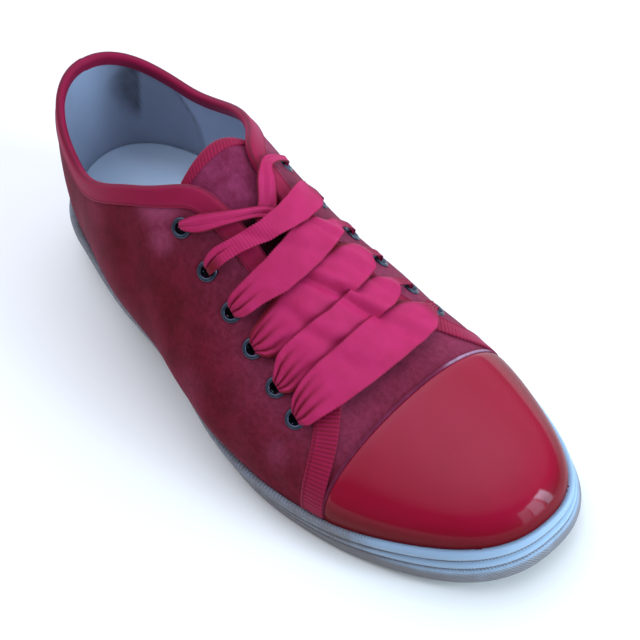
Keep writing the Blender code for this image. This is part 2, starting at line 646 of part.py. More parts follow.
def lace_share(u, across):
    """Share t for a place across the throat, from -1 at the outer to 1 at the inner row of eyelets."""
    side = np.where(across < 0.0, -1, 1)
    low = np.where(side < 0, eyelet_share(u, -1), eyelet_share(u, 1))
    return 1.0 - np.abs(across) * (1.0 - low), side


def ribbon(middle, across, up, width, thick):
    """Points and faces of a flat ribbon with rounded edges along the middle points."""
    width = np.asarray(width, float)[:, None]
    soft = np.minimum(0.5, width / 4.0)
    outline = ((-1, 0, 0), (-1, 1, -1), (1, -1, -1), (1, 0, 0), (1, -1, 1), (-1, 1, 1))
    rings = [middle + across * (w * width / 2.0 + s * soft) + up * (h * thick / 2.0) for w, s, h in outline]
    points = np.stack(rings, axis=1)
    stations, count = points.shape[:2]
    faces = [tuple(range(count))[::-1], tuple((stations - 1) * count + k for k in range(count))]
    for row in range(stations - 1):
        for k in range(count):
            here, after = row * count + k, row * count + (k + 1) % count
            faces.append((here, after, after + count, here + count))
    return points.reshape(-1, 3), faces


def build_lace():
    """The bars from eyelet to eyelet, from the second pair down, joined where each lies on the next."""
    bars = []
    away, height, width_share, sag_share = np.array(LACE_STEPS).T
    order = np.concatenate([np.arange(len(away)), np.arange(len(away) - 1)[::-1]])
    for k, (sag, full_width) in enumerate(LACE_BARS, start=1):
        x = EYELET_X[k]
        halves = {}
        for side in (-1, 1):
            low = float(eyelet_share(np.array(float(u_of(x))), side))
            rising = np.linalg.norm(upper_frame(float(u_of(x)), low, side)[3])
            halves[side] = side * (1.0 - away[:-1] / rising / (1.0 - low))
        across = np.concatenate([halves[-1], [0.0], halves[1][::-1]])
        width = full_width * width_share[order]
        walk = u_of(x + sag * sag_share[order])
        t, side = lace_share(walk, across)
        _, normal, along, _ = upper_frame(walk, t, side)
        along /= np.linalg.norm(along, axis=-1, keepdims=True)
        tilt = LACE_TILT * np.clip((width - 8.0) / 6.0, 0.0, 1.0)[:, None]
        centre = off_upper(walk, t, side, height[order])
        bars.append(new_object(f"lace_bar_{k + 1}", *ribbon(centre, *turned(centre, along + tilt * normal), width,
                                                            LACE_THICK), RIBBON))
    lace = bars[0]
    lace.name = "lace"
    for bar in bars[1:]:
        cutters.objects.link(bar)
        bar.hide_render = True
        bar.display_type = "WIRE"
        join = lace.modifiers.new(bar.name, "BOOLEAN")
        join.operation = "UNION"
        join.object = bar
    return lace


def turned(centre, across):
    """Square the across direction to the path, and return it with the ribbon's own normal."""
    run = np.gradient(centre, axis=0)
    run /= np.linalg.norm(run, axis=-1, keepdims=True)
    across = across - run * (across * run).sum(-1, keepdims=True)
    across /= np.linalg.norm(across, axis=-1, keepdims=True)
    return across, np.cross(run, across)


def build_lace_end(name, rows):
    """A loose end of the lace, from its top eyelet to where it is tucked under the first bar."""
    route = columns(END_COLUMNS, rows)
    pace = np.arange(len(rows), dtype=float)
    fine = np.linspace(0.0, pace[-1], 2 * len(rows) - 1)
    route = {key: spline(pace, values)(fine) for key, values in route.items()}
    walk = u_of(route["at"])
    t, side = lace_share(walk, route["across"])
    _, normal, along, _ = upper_frame(walk, t, side)
    centre = off_upper(walk, t, side, route["height"])
    flat = 3.0 * side[0] * np.cross(normal, np.gradient(centre, axis=0))
    return new_object(name, *ribbon(centre, *turned(centre, along + flat), route["width"], END_THICK), RIBBON)


for leftover in list(bpy.data.objects):
    bpy.data.objects.remove(leftover)
parts = bpy.data.collections.new("low_top_sneaker")
cutters = bpy.data.collections.new("cutters")
bpy.context.scene.collection.children.link(parts)
bpy.context.scene.collection.children.link(cutters)

pieces = [build_outsole(), build_insole(), build_upper(), build_toe_cap(), build_tongue(), build_binding()]
pieces += build_eyelets()
pieces += [build_lace(), build_lace_end("lace_end_lateral", LATERAL_END)]
pieces += [build_lace_end("lace_end_medial", MEDIAL_END)]
for piece in pieces:
    parts.objects.link(piece)
cutters.hide_render = True
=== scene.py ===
"""Low-top sneaker in burgundy suede: the looks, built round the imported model.

Sizes are millimetres in the shoe's own layout. x runs from the back of the heel to the toe, y from the outer
side (negative) to the inner side, and z up from the floor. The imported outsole's box puts that layout in the
frame. The upper's surface is one function of a walk along the shoe and a share of the way up to the crown,
and every panel, seam, crease and ribbon is laid on it.
"""

import math

import bmesh
import bpy
import numpy as np
from mathutils import Matrix, Vector


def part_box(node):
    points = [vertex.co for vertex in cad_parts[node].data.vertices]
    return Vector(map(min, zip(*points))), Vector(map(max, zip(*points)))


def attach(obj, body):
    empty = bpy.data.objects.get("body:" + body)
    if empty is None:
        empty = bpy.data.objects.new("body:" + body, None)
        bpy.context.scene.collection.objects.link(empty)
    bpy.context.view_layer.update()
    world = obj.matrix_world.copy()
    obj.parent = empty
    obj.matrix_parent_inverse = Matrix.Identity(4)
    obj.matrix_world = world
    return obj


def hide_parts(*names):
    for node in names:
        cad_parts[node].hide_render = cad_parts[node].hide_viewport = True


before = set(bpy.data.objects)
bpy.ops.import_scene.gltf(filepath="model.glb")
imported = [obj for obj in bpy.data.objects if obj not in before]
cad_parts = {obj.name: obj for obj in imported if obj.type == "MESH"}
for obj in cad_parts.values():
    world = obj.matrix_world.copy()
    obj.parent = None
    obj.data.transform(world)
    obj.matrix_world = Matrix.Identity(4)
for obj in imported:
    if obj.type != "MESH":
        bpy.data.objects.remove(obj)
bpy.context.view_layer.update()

MM = 0.001

# ---------------------------------------------------------------- the shoe's sizes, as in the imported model
LENGTH = 292.0
LIP = 3.6               # how far the sole's lip stands out round the upper
TOE_FLARE = 3.0         # how far the foot of the sole stands out before the lip at the toe
GAP = 0.35              # air between the cup's floor and what stands on it
WALL = 1.8              # the upper's thickness in the solids
SUEDE_THICK = 0.9
LINING_THICK = 0.4
LINING_DEPTH = 1.4      # how far the lining lies inside the suede's face
CAP_THICK = 0.9
EYELET_HOLE = 3.3       # radius of the hole in the suede
LINING_HOLE = 3.6
HEEL_ROUND = 38.0
TOE_ROUND = 68.0
HEEL_POWER = 2.2
TOE_POWER = 2.3
CAP_POWER = 2.6
HEEL_CURVE = 0.0058
HEEL_UPRIGHT = 72.0
FLOOR_HEEL = 20.0
FLOOR_TOE = 7.5
TOE_SPRING = 9.0
SPRING_START = 0.74
ARCH_RISE = 1.2
ARCH_START = 0.27
ARCH_END = 0.60

# Sections of the last: share of the length, half widths on the outer and the inner side, heights of the feather
# line and the crown, and how the half section swells between them
SECTION_COLUMNS = ("at", -1, 1, "feather", "crown", "ridge", "full", "swell", "wall", "shoulder")
SECTIONS = (
    (0.00, 29.0, 29.0, 25.0, 112.0, 0.0, 0.03, 0.0, 0.52, 0.68),
    (0.14, 37.0, 33.5, 23.7, 112.0, 0.0, 0.02, 1.0, 0.52, 0.68),
    (0.28, 45.5, 39.0, 21.5, 110.0, 0.0, 0.06, 5.5, 0.52, 0.60),
    (0.41, 49.5, 36.0, 19.5, 97.0, 0.0, 0.07, 7.0, 0.51, 0.48),
    (0.54, 58.5, 40.0, 16.2, 74.0, 0.5, 0.06, 5.0, 0.50, 0.44),
    (0.67, 60.5, 46.0, 14.0, 53.0, 1.0, 0.03, 0.0, 0.50, 0.52),
    (0.78, 54.0, 43.5, 15.5, 45.0, 1.0, 0.02, 0.0, 0.54, 0.57),
    (0.88, 46.5, 38.0, 20.3, 44.0, 1.0, 0.02, 0.0, 0.59, 0.58),
    (1.00, 42.0, 35.0, 27.3, 51.5, 1.0, 0.03, 0.0, 0.59, 0.58),
)
# Share of the length, then the outer and the inner side: the collar's height, the facing's distance from the
# middle, and how far the sole's side tapers in
SIDE_COLUMNS = ("at", -1, 1)
COLLAR = ((0.00, 88.5, 87.5), (0.08, 79.0, 80.5), (0.16, 72.5, 73.5), (0.24, 79.0, 77.5), (0.32, 92.0, 89.5),
          (0.38, 99.0, 98.0), (0.46, 112.0, 112.0))
FACING = ((0.33, 24.0, 19.0), (0.41, 15.0, 6.5), (0.46, 12.5, 3.8), (0.53, 13.0, 6.0), (0.60, 15.0, 11.0),
          (0.67, 21.0, 19.0))
TAPER = ((0.00, 2.0, 1.0), (0.15, 4.0, 3.0), (0.33, 5.3, 7.0), (0.50, 4.4, 6.5), (0.66, 2.0, 0.0),
         (0.84, 0.0, -4.0), (1.00, -2.0, -5.5))
# The sole's side, upwards: share of its height, distance in, and the share of the taper taken
SIDE_STEPS = (
    (0.00, 1.6, 1.00), (0.05, 0.3, 1.00), (0.10, 0.0, 0.95), (0.43, 0.0, 0.55),
    (0.46, 0.9, 0.50), (0.50, 0.9, 0.45), (0.53, 0.0, 0.40), (0.67, 0.0, 0.25),
    (0.70, 1.0, 0.20), (0.76, 1.0, 0.12), (0.79, 0.0, 0.05), (0.95, 0.1, 0.00), (1.00, 0.9, 0.00),
)
THROAT_CLOSE = (187.0, 201.0)   # distances from the heel between which the throat's lower end rounds over
SWELL_INNER = 0.8       # the inner side's swell, as a share of the outer side's
CORNER_FROM = 45.0      # nearer the heel than this the top edge is the collar alone
CORNER = 8.0            # the larger, the sharper the corner of collar and facing
# The quarter's front edge: distance from the heel, and share of the way up to the facing's corner
FRONT_EDGE = ((195.5, 1.0), (202.0, 0.965), (206.5, 0.88), (211.5, 0.77), (216.0, 0.62), (219.3, 0.42),
              (221.3, 0.20), (222.0, 0.03))
CAP_SEAM = (221.0, 223.0)       # the cap's seam: distance from the heel on the crown and at the sole
BINDING_WIDTH = 7.5
TONGUE_EDGE = 3.8       # width of the ribbon on the tongue's top edge
BINDING_FRONT = 10.0    # the ribbon's width on the quarters' front edges
INSOLE_WEDGE = 0.85     # the footbed is thicker under the heel by this share
TREAD_PITCH = 8.5       # from groove to groove
TREAD_DEPTH = 1.5

EYELET_X = (118.0, 135.6, 152.0, 166.4, 182.0, 195.0)    # distance of each pair from the heel
EYELET_ROWS = {-1: (29.5, 42.5), 1: (24.0, 34.0)}   # distance of the first and last from the middle, by side
TONGUE = (108.5, 216.0)
TONGUE_HALF = 27.0      # half the tongue's width
TONGUE_BEND = 116.0     # from here upwards the tongue dips towards the foot

# The lace leaves an eyelet: distance from it, and height over the upper
LACE_RISE = ((0.0, -0.6), (0.6, 1.3), (2.4, 2.8), (5.0, 3.3), (9.0, 3.6), (14.0, 3.8), (20.0, 3.9))
# The ribbon's bars from the top one down: at each place across, from -1 at the outer to 1 at the inner eyelet,
# how far from the heel the ribbon's upper and its lower edge lie
BAR_EDGES = (
    ((-1.0, 133.9, 137.3), (-0.95, 133.4, 138.6), (-0.87, 133.4, 139.6), (-0.78, 134.2, 140.6), (-0.59, 137.2, 143.0),
     (-0.28, 140.4, 147.6), (0.0, 140.3, 149.3), (0.2, 138.8, 149.3), (0.42, 135.8, 147.4), (0.56, 133.6, 145.6),
     (0.67, 132.8, 142.4), (0.73, 133.0, 138.4), (0.82, 133.4, 137.2), (1.0, 134.5, 136.9)),
    ((-1.0, 150.2, 153.8), (-0.96, 149.2, 155.6), (-0.90, 148.8, 157.8), (-0.81, 149.2, 159.2), (-0.68, 149.8, 160.4),
     (-0.44, 150.6, 163.6), (-0.2, 150.0, 164.0), (0.0, 148.8, 163.6), (0.2, 147.6, 162.0), (0.38, 147.4, 160.0),
     (0.52, 149.8, 157.8), (0.60, 149.6, 154.8), (0.72, 149.8, 153.6), (1.0, 150.9, 153.3)),
    ((-1.0, 164.6, 168.2), (-0.96, 163.6, 170.6), (-0.91, 162.8, 173.4), (-0.82, 162.2, 176.2), (-0.68, 162.0, 178.0),
     (-0.46, 160.6, 180.5), (-0.2, 161.2, 180.6), (0.1, 161.4, 178.6), (0.34, 160.6, 176.8), (0.52, 160.2, 174.6),
     (0.64, 160.9, 168.6), (0.72, 163.4, 168.2), (0.84, 164.4, 167.8), (1.0, 165.2, 167.6)),
    ((-1.0, 180.2, 183.8), (-0.96, 179.0, 186.0), (-0.90, 177.4, 188.2), (-0.83, 175.9, 189.5), (-0.74, 175.4, 190.2),
     (-0.48, 176.4, 191.6), (-0.22, 177.8, 192.2), (0.06, 177.0, 191.2), (0.34, 175.4, 190.4), (0.50, 175.8, 188.0),
     (0.61, 177.6, 183.8), (0.70, 179.2, 183.4), (0.84, 180.2, 183.4), (1.0, 180.8, 183.2)),
    ((-1.0, 193.2, 196.8), (-0.97, 191.8, 199.0), (-0.91, 189.8, 201.6), (-0.74, 188.6, 204.0),
     (-0.56, 188.6, 206.6), (-0.31, 189.4, 208.6), (0.0, 189.0, 209.4), (0.33, 188.2, 208.2), (0.52, 188.8, 206.6),
     (0.68, 190.6, 202.6), (0.76, 192.4, 199.4), (0.86, 193.0, 197.2), (1.0, 193.8, 196.2)),
)
# How far each bar's edges stand off the ribbons under them: the upper edge on the outer and the inner side, then
# the lower edge, so that the lower bars change sides with their neighbours half way over
BAR_LAPS = ((1.2, 0.9, 1.4, 1.6), (0.0, -0.6, 1.7, 1.8), (-0.8, -0.6, -0.8, 1.8), (1.6, -0.9, -0.8, 1.7),
            (1.8, -0.9, 0.3, 0.2))
# Where the cloth creases as it runs out of the outer and of the inner eyelet, over the width from -1 to 1
PLEATS = (((-0.2,), (0.0,)), ((-0.45, 0.25), (-0.3, 0.4)), ((-0.6, -0.1, 0.5), (-0.5, 0.2)),
          ((-0.55, 0.0, 0.45), (-0.4, 0.35)), ((-0.65, -0.2, 0.35), (-0.55, 0.1, 0.5)))
# Soft folds over the throat, by bar: the place across on the upper and the lower edge, width and depth
THROAT_FOLDS = (
    ((-0.50, -0.30, 0.08, 0.7),),
    ((-0.20, 0.08, 0.09, 0.7), (0.26, 0.40, 0.06, 0.7)),
    ((-0.26, 0.02, 0.06, 2.0), (0.22, 0.38, 0.07, 0.8), (-0.62, -0.40, 0.06, 0.6)),
    ((-0.06, 0.10, 0.06, 2.1), (-0.52, -0.30, 0.07, 0.9), (0.40, 0.46, 0.06, 0.6)),
    ((0.08, 0.30, 0.08, 1.0), (-0.45, -0.20, 0.09, 0.7)),
)
# The two loose ends: distance from the heel, place across from -1 at the outer to 1 at the inner
# eyelet, height over the upper, and width
END_COLUMNS = ("at", "across", "height", "width")
LATERAL_END = (
    (118.0, -1.00, -0.6, 3.0), (118.2, -0.985, 1.3, 3.0), (118.9, -0.95, 2.7, 4.4), (120.8, -0.89, 3.3, 5.6),
    (124.0, -0.79, 3.4, 7.2), (127.8, -0.65, 3.3, 6.6), (131.2, -0.51, 2.9, 5.6), (134.2, -0.37, 1.9, 4.8),
    (136.8, -0.23, 1.2, 4.6), (139.6, -0.10, 0.9, 5.4), (143.0, -0.01, 0.7, 6.8), (147.0, 0.03, 0.5, 7.4),
    (151.0, 0.04, 0.3, 7.5),
)
MEDIAL_END = (
    (118.0, 1.00, -0.6, 3.0), (118.1, 0.985, 1.3, 2.6), (118.4, 0.94, 2.7, 2.6), (119.6, 0.82, 3.0, 2.8),
    (121.4, 0.62, 3.0, 3.4), (123.3, 0.42, 3.1, 4.8), (126.0, 0.29, 2.8, 5.8), (129.5, 0.20, 2.0, 7.8),
    (133.5, 0.10, 0.6, 7.8), (137.5, -0.03, -0.3, 7.8), (141.5, -0.18, -0.7, 7.6), (145.0, -0.30, -0.8, 7.4),
)

# ---------------------------------------------------------------- tables, curves and the upper's surface


def columns(names, rows):
    """Return the table's columns by name, as arrays."""
    return dict(zip(names, np.array(rows, float).T))


def spline(xs, ys):
    """Return the natural cubic spline through the points, as a function of arrays."""
    xs, ys = np.asarray(xs, float), np.asarray(ys, float)
    h = np.diff(xs)
    end = len(xs) - 1
    system, target = np.zeros((end + 1, end + 1)), np.zeros(end + 1)
    system[0, 0] = system[end, end] = 1.0
    for i in range(1, end):
        system[i, i - 1:i + 2] = h[i - 1], 2.0 * (h[i - 1] + h[i]), h[i]
        target[i] = 6.0 * ((ys[i + 1] - ys[i]) / h[i] - (ys[i] - ys[i - 1]) / h[i - 1])
    bend = np.linalg.solve(system, target)

    def value(x):
        x = np.asarray(x, float)
        i = np.clip(np.searchsorted(xs, x) - 1, 0, end - 1)
        left, right = x - xs[i], xs[i + 1] - x
        cubic = (bend[i] * right ** 3 + bend[i + 1] * left ** 3) / (6.0 * h[i])
        return (cubic + (ys[i] / h[i] - bend[i] * h[i] / 6.0) * right
                + (ys[i + 1] / h[i] - bend[i + 1] * h[i] / 6.0) * left)

    return value


def splines(names, rows):
    """Return one spline along the shoe for each column after the first."""
    table = columns(names, rows)
    return {name: spline(table["at"] * LENGTH, table[name]) for name in names[1:]}


last = splines(SECTION_COLUMNS, SECTIONS)
taper = splines(SIDE_COLUMNS, TAPER)
collar = splines(SIDE_COLUMNS, COLLAR)
facing = splines(SIDE_COLUMNS, FACING)

UPPER_START = LIP
UPPER_END = LENGTH - TOE_FLARE - LIP
HEEL_ARC = HEEL_ROUND * math.pi / 2.0
TOE_ARC = TOE_ROUND * math.pi / 2.0
U_END = HEEL_ARC + (UPPER_END - UPPER_START - HEEL_ROUND - TOE_ROUND) + TOE_ARC


def smooth(low, high, value):
    """The smooth step from 0 at low to 1 at high."""
    share = np.clip((value - low) / (high - low), 0.0, 1.0)
    return share * share * (3.0 - 2.0 * share)


def bell(distance, breadth):
    """A bell curve: 1 at the distance 0, and 0.37 at the breadth."""
    return np.exp(-(distance / breadth) ** 2)


def of_side(pair, side):
    """The value that belongs to each point's side, out of one for the outer, -1, and one for the inner, 1."""
    return np.where(side < 0, pair[-1], pair[1])


def side_of(place):
    """The side of a place across: -1 the outer, 1 the inner."""
    return np.where(place < 0.0, -1, 1)


def x_of(u):
    """Distance along the shoe for a walk u along its side, from the heel's back line to the toe's tip."""
    u = np.abs(u)
    heel = UPPER_START + HEEL_ROUND * (1.0 - np.cos(np.minimum(u, HEEL_ARC) / HEEL_ROUND))
    toe_walk = np.clip(u - (U_END - TOE_ARC), 0.0, TOE_ARC)
    toe = UPPER_END - TOE_ROUND + TOE_ROUND * np.sin(toe_walk / TOE_ROUND)
    straight = UPPER_START + HEEL_ROUND + (u - HEEL_ARC)
    return np.where(u < HEEL_ARC, heel, np.where(toe_walk > 0.0, toe, straight))


def u_of(x):
    """The walk along the side that reaches the distance x: the inverse of x_of."""
    x = np.clip(np.asarray(x, float), UPPER_START, UPPER_END)
    heel = HEEL_ROUND * np.arccos(np.clip(1.0 - (x - UPPER_START) / HEEL_ROUND, -1.0, 1.0))
    toe_share = np.clip((x - (UPPER_END - TOE_ROUND)) / TOE_ROUND, 0.0, 1.0)
    toe = U_END - TOE_ARC + TOE_ROUND * np.arcsin(toe_share)
    straight = HEEL_ARC + x - UPPER_START - HEEL_ROUND
    return np.where(x < UPPER_START + HEEL_ROUND, heel, np.where(toe_share > 0.0, toe, straight))


def plan_round(x, start, end):
    """Share of the half width left by the rounding of heel and toe: a superellipse at each end."""
    heel = np.clip((start + HEEL_ROUND - x) / HEEL_ROUND, 0.0, 1.0)
    toe = np.clip((x - (end - TOE_ROUND)) / TOE_ROUND, 0.0, 1.0)
    return (1.0 - heel ** HEEL_POWER) ** (1.0 / HEEL_POWER) * (1.0 - toe ** TOE_POWER) ** (1.0 / TOE_POWER)


def underside(x):
    """Height of the sole's underside: flat at heel and ball, lifted at the waist and the toe."""
    spring = TOE_SPRING * np.clip((x / LENGTH - SPRING_START) / (1.0 - SPRING_START), 0.0, 1.0) ** 2
    waist = np.clip((x / LENGTH - ARCH_START) / (ARCH_END - ARCH_START), 0.0, 1.0)
    return spring + ARCH_RISE * np.sin(math.pi * waist) ** 2


def floor_drop(x):
    """Share of the step down from heel to forefoot that is taken at the distance x."""
    return 0.5 - 0.5 * np.cos(math.pi * np.clip((x / LENGTH - ARCH_START) / 0.4, 0.0, 1.0))


def cup_floor(x):
    """Height of the floor inside the cupsole, which steps down from heel to forefoot."""
    return FLOOR_HEEL + (FLOOR_TOE - FLOOR_HEEL) * floor_drop(x) + underside(x)


def upper_point(u, t, side):
    """The upper's outer surface at the walk u and the share t of the way from the sole to the crown.

    Each half section is a cubic curve that leaves the feather line nearly upright and turns level at the
    crown, with a swell over the sole. Heel and toe round the half width, and the toe the height too.
    Below the feather line, t from 0 to -1 runs straight down into the cupsole.
    """
    u, t, side = np.broadcast_arrays(np.asarray(u, float), np.asarray(t, float), side)
    side = np.where(u < 0.0, -side, side)
    x = x_of(u)
    rounding = plan_round(x, UPPER_START, UPPER_END)
    half = of_side({way: last[way](x) for way in (-1, 1)}, side) * rounding
    ridge = last["ridge"](x) * rounding * side
    toe = np.clip((x - (UPPER_END - TOE_ROUND)) / TOE_ROUND, 0.0, 1.0)
    feather = last["feather"](x)
    rise = (last["crown"](x) - feather) * (1.0 - toe ** CAP_POWER) ** 0.5
    up = np.clip(t, 0.0, 1.0)
    b0, b1, b2, b3 = (1.0 - up) ** 3, 3.0 * up * (1.0 - up) ** 2, 3.0 * up ** 2 * (1.0 - up), up ** 3
    shoulder = ridge + last["shoulder"](x) * (half - ridge)
    level = b1 * last["wall"](x) + b2 + b3
    swell = last["swell"](x) * rounding * np.where(side < 0, 1.0, SWELL_INNER) * 9.5 * level * (1.0 - level) ** 3
    across = b0 * half + b1 * half * (1.0 + last["full"](x)) + b2 * shoulder + b3 * ridge + swell
    height = feather + rise * level
    heel = np.clip((UPPER_START + HEEL_ROUND - x) / HEEL_ROUND, 0.0, 1.0) ** 1.5
    lean = heel * HEEL_CURVE * (height - feather) * (height - HEEL_UPRIGHT)
    height = height + np.clip(t, -1.0, 0.0) * (feather - cup_floor(x) - GAP)
    return np.stack([x + lean, side * across, height], axis=-1)


def upper_frame(u, t, side):
    """Return the point, the outward normal and the two slopes of the outer surface."""
    step_u, step_t = 0.05, 0.0005
    inner_t = np.clip(t, step_t, 1.0 - step_t)
    inner_u = np.clip(u, 0.3 - U_END, U_END - 0.3)
    along = upper_point(inner_u + step_u, inner_t, side) - upper_point(inner_u - step_u, inner_t, side)
    rising = upper_point(inner_u, inner_t + step_t, side) - upper_point(inner_u, inner_t - step_t, side)
    normal = np.cross(along, rising) * -np.asarray(side, float)[..., None]
    normal /= np.linalg.norm(normal, axis=-1, keepdims=True)
    return upper_point(u, t, side), normal, along / (2.0 * step_u), rising / (2.0 * step_t)


def off_upper(u, t, side, distance):
    """The point that far outside the upper's outer surface, or inside it where it is negative."""
    point, normal, _, _ = upper_frame(u, t, side)
    return point + normal * np.asarray(distance, float)[..., None]


def share_at(inside, u, side):
    """The highest share t that the test calls inside, found by halving."""
    low, high = np.zeros_like(u), np.ones_like(u)
    for _ in range(24):
        middle = (low + high) / 2.0
        kept = inside(upper_point(u, middle, side))
        low, high = np.where(kept, middle, low), np.where(kept, high, middle)
    return (low + high) / 2.0


def half_share(u, side, half):
    """Share t at which the surface is that far from the middle, sideways."""
    return share_at(lambda p: side * p[..., 1] > half, u, side)


def sharp_edge_share(u, side):
    """Share t of the quarter's top edge: the collar, its corner and the facing."""
    x = x_of(u)
    height = collar[side](np.minimum(x, COLLAR[-1][0] * LENGTH))
    by_collar = share_at(lambda p: p[..., 2] < height, u, side)
    start, end = FACING[0][0] * LENGTH, FACING[-1][0] * LENGTH
    by_facing = half_share(u, side, facing[side](np.clip(x, start, end)))
    rounded = -np.log(np.exp(-CORNER * by_collar) + np.exp(-CORNER * by_facing)) / CORNER
    return np.where(x < CORNER_FROM, by_collar, np.minimum(rounded, by_collar))


def edge_table(side):
    """Walks over the whole upper and the share of the top edge there, with its corners eased."""
    walk = np.linspace(0.0, U_END, 600)
    share = sharp_edge_share(walk, side)
    kernel = bell(np.linspace(-2.5, 2.5, 61), 1.0)
    padded = np.concatenate([share[30:0:-1], share, share[-1] + 0.0 * share[:30]])
    eased = np.convolve(padded, kernel / kernel.sum(), "valid")
    return walk, share + (eased - share) * smooth(30.0, 50.0, walk) * smooth(215.0, 190.0, x_of(walk))


EDGES = {side: edge_table(side) for side in (-1, 1)}


def edge_share(u, side):
    """Share t of the quarter's top edge on one side."""
    return np.interp(u, *EDGES[side])


def opening_share(u, side):
    """Share t of the shell's edge: as edge_share, then rounded across the throat's lower end."""
    start, end = THROAT_CLOSE
    closing = 1.0 - np.sqrt(1.0 - np.clip((x_of(u) - start) / (end - start), 0.0, 1.0) ** 2)
    share = edge_share(u, side)
    return share + (1.0 - share) * closing


def eyelet_share(u, side):
    """Share t of the line through a side's eyelets."""
    first, final = EYELET_ROWS[side]
    along = (x_of(u) - EYELET_X[0]) / (EYELET_X[-1] - EYELET_X[0])
    return half_share(u, side, first + (final - first) * along)


def lace_share(u, across):
    """Share t for a place across the throat, from -1 at the outer to 1 at the inner row of eyelets."""
    side = side_of(across)
    low = {way: eyelet_share(u, way) for way in (-1, 1)}
    return 1.0 - np.abs(across) * (1.0 - of_side(low, side)), side


def sole_ring(inset, height, taper_share, stations):
    """A closed ring round the sole, heel to toe on the outer side and back on the inner one.

    inset is the distance inside the lip's outline, height a function of the distance along the shoe, and
    taper_share how much of the sole's taper is taken.
    """
    start = inset + taper_share * taper[-1](0.0)
    end = LENGTH - inset - (1.0 - taper_share) * TOE_FLARE
    walk = np.linspace(0.0, math.pi, stations)
    x = (start + end) / 2.0 - (end - start) / 2.0 * np.cos(walk)
    sides = []
    for side in (-1, 1):
        half = last[side](x) + LIP - inset - taper_share * taper[side](x)
        sides.append(np.stack([x, side * half * plan_round(x, start, end), height(x)], axis=-1))
    return np.concatenate([sides[0], sides[1][-2:0:-1]])


def shoe_origin():
    """Where the frame's origin lies in the shoe's layout: the two boxes round the sole are set on each other."""
    rings = np.concatenate([sole_ring(inset, lambda x: 0.0 * x, share, 97) for _, inset, share in SIDE_STEPS])
    low, high = (np.array(corner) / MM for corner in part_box("outsole"))
    middle = (rings.min(axis=0) + rings.max(axis=0)) / 2.0 - (low + high) / 2.0
    return np.array([middle[0], middle[1], 0.0])


ORIGIN = shoe_origin()


def placed(points):
    """Points of the shoe's layout, in the frame's metres."""
    return (np.asarray(points, float) - ORIGIN) * MM


# ---------------------------------------------------------------- meshes from grids


def grid_faces(rows, cols, close_rows=False, close_cols=False):
    """Corner numbers of the quads between neighbours of a grid, as one array."""
    i = np.arange(rows if close_rows else rows - 1)[:, None]
    j = np.arange(cols if close_cols else cols - 1)[None, :]
    after_i, after_j = (i + 1) % rows, (j + 1) % cols
    quads = np.stack(np.broadcast_arrays(i * cols + j, after_i * cols + j, after_i * cols + after_j,
                                         i * cols + after_j), axis=-1)
    return quads.reshape(-1, 4)


def mesh_piece(name, points, faces, finish, lay=None, wear_and_shading=None, weld=0.0):
    """Make a smooth mesh object from points in the shoe's layout and an array of faces.

    lay holds each point's place on the material, in millimetres along and across it, and the share after it how
    much of the finish's second colour each point takes: real scuffing and staining on some pieces, painted
    highlights and shade on others. weld merges points nearer than that, in millimetres.
    """
    mesh = bpy.data.meshes.new(name)
    points = np.asarray(points, float).reshape(-1, 3)
    faces = np.asarray(faces)
    mesh.vertices.add(len(points))
    mesh.vertices.foreach_set("co", placed(points).ravel())
    mesh.loops.add(faces.size)
    mesh.loops.foreach_set("vertex_index", faces.ravel())
    mesh.polygons.add(len(faces))
    mesh.polygons.foreach_set("loop_start", np.arange(len(faces)) * faces.shape[1])
    mesh.update()
    if lay is not None:
        flat = np.zeros((len(points), 3))
        flat[:, :2] = np.asarray(lay, float).reshape(-1, 2)
        mesh.attributes.new("lay", "FLOAT_VECTOR", "POINT").data.foreach_set("vector", flat.ravel())
    if wear_and_shading is not None:
        mesh.attributes.new("wear_and_shading", "FLOAT", "POINT").data.foreach_set("value", np.asarray(wear_and_shading, float).ravel())
    if weld:
        work = bmesh.new()
        work.from_mesh(mesh)
        bmesh.ops.remove_doubles(work, verts=work.verts, dist=weld * MM)
        work.to_mesh(mesh)
        work.free()
    mesh.validate()
    mesh.shade_smooth()
    mesh.materials.append(finish)
    piece = bpy.data.objects.new(name, mesh)
    bpy.context.scene.collection.objects.link(piece)
    return piece


def thicken(piece, thickness, offset=-1.0):
    """Give an open surface its thickness, in millimetres, inwards with offset -1, and return the piece."""
    wall = piece.modifiers.new("thickness", "SOLIDIFY")
    wall.thickness = thickness * MM
    wall.offset = offset
    wall.use_even_offset = False
    return piece


def run_along(points, axis=0):
    """Distance covered from point to point along an axis of theirs, from 0."""
    steps = np.linalg.norm(np.diff(points, axis=axis), axis=-1)
    return np.insert(np.cumsum(steps, axis=axis), 0, 0.0, axis=axis)


def sheet_lay(points):
    """Millimetres along the rows and across the columns of a grid, measured on the surface."""
    return np.stack([run_along(points, 0), run_along(points, 1)], axis=-1)


def sheet_piece(name, face, finish, wear_and_shading, faces=None, tube=False, weld=0.0):
    """Make a mesh object of a grid of points, with the given faces or all of its own.

    A tube's grid closes over its columns.
    """
    if faces is None:
        faces = grid_faces(*face.shape[:2], close_cols=tube)
    return mesh_piece(name, face, faces, finish, sheet_lay(face), wear_and_shading, weld)


def unit(vectors):
    """The vectors at length one."""
    return vectors / np.maximum(np.linalg.norm(vectors, axis=-1, keepdims=True), 1e-9)


def soften(values, times=2):
    """Round the corners of a sampled course."""
    for _ in range(times):
        padded = np.pad(values, 2, "edge")
        values = np.convolve(padded, (0.1, 0.2, 0.4, 0.2, 0.1), "valid")
    return values


def swept(path, ahead, up, section):
    """A grid of points: the section's pairs, a distance ahead and one up, set up at each point of a path."""
    offset, height = np.array(section, float).T
    return path[:, None] + ahead[:, None] * offset[None, :, None] + up[:, None] * height[None, :, None]


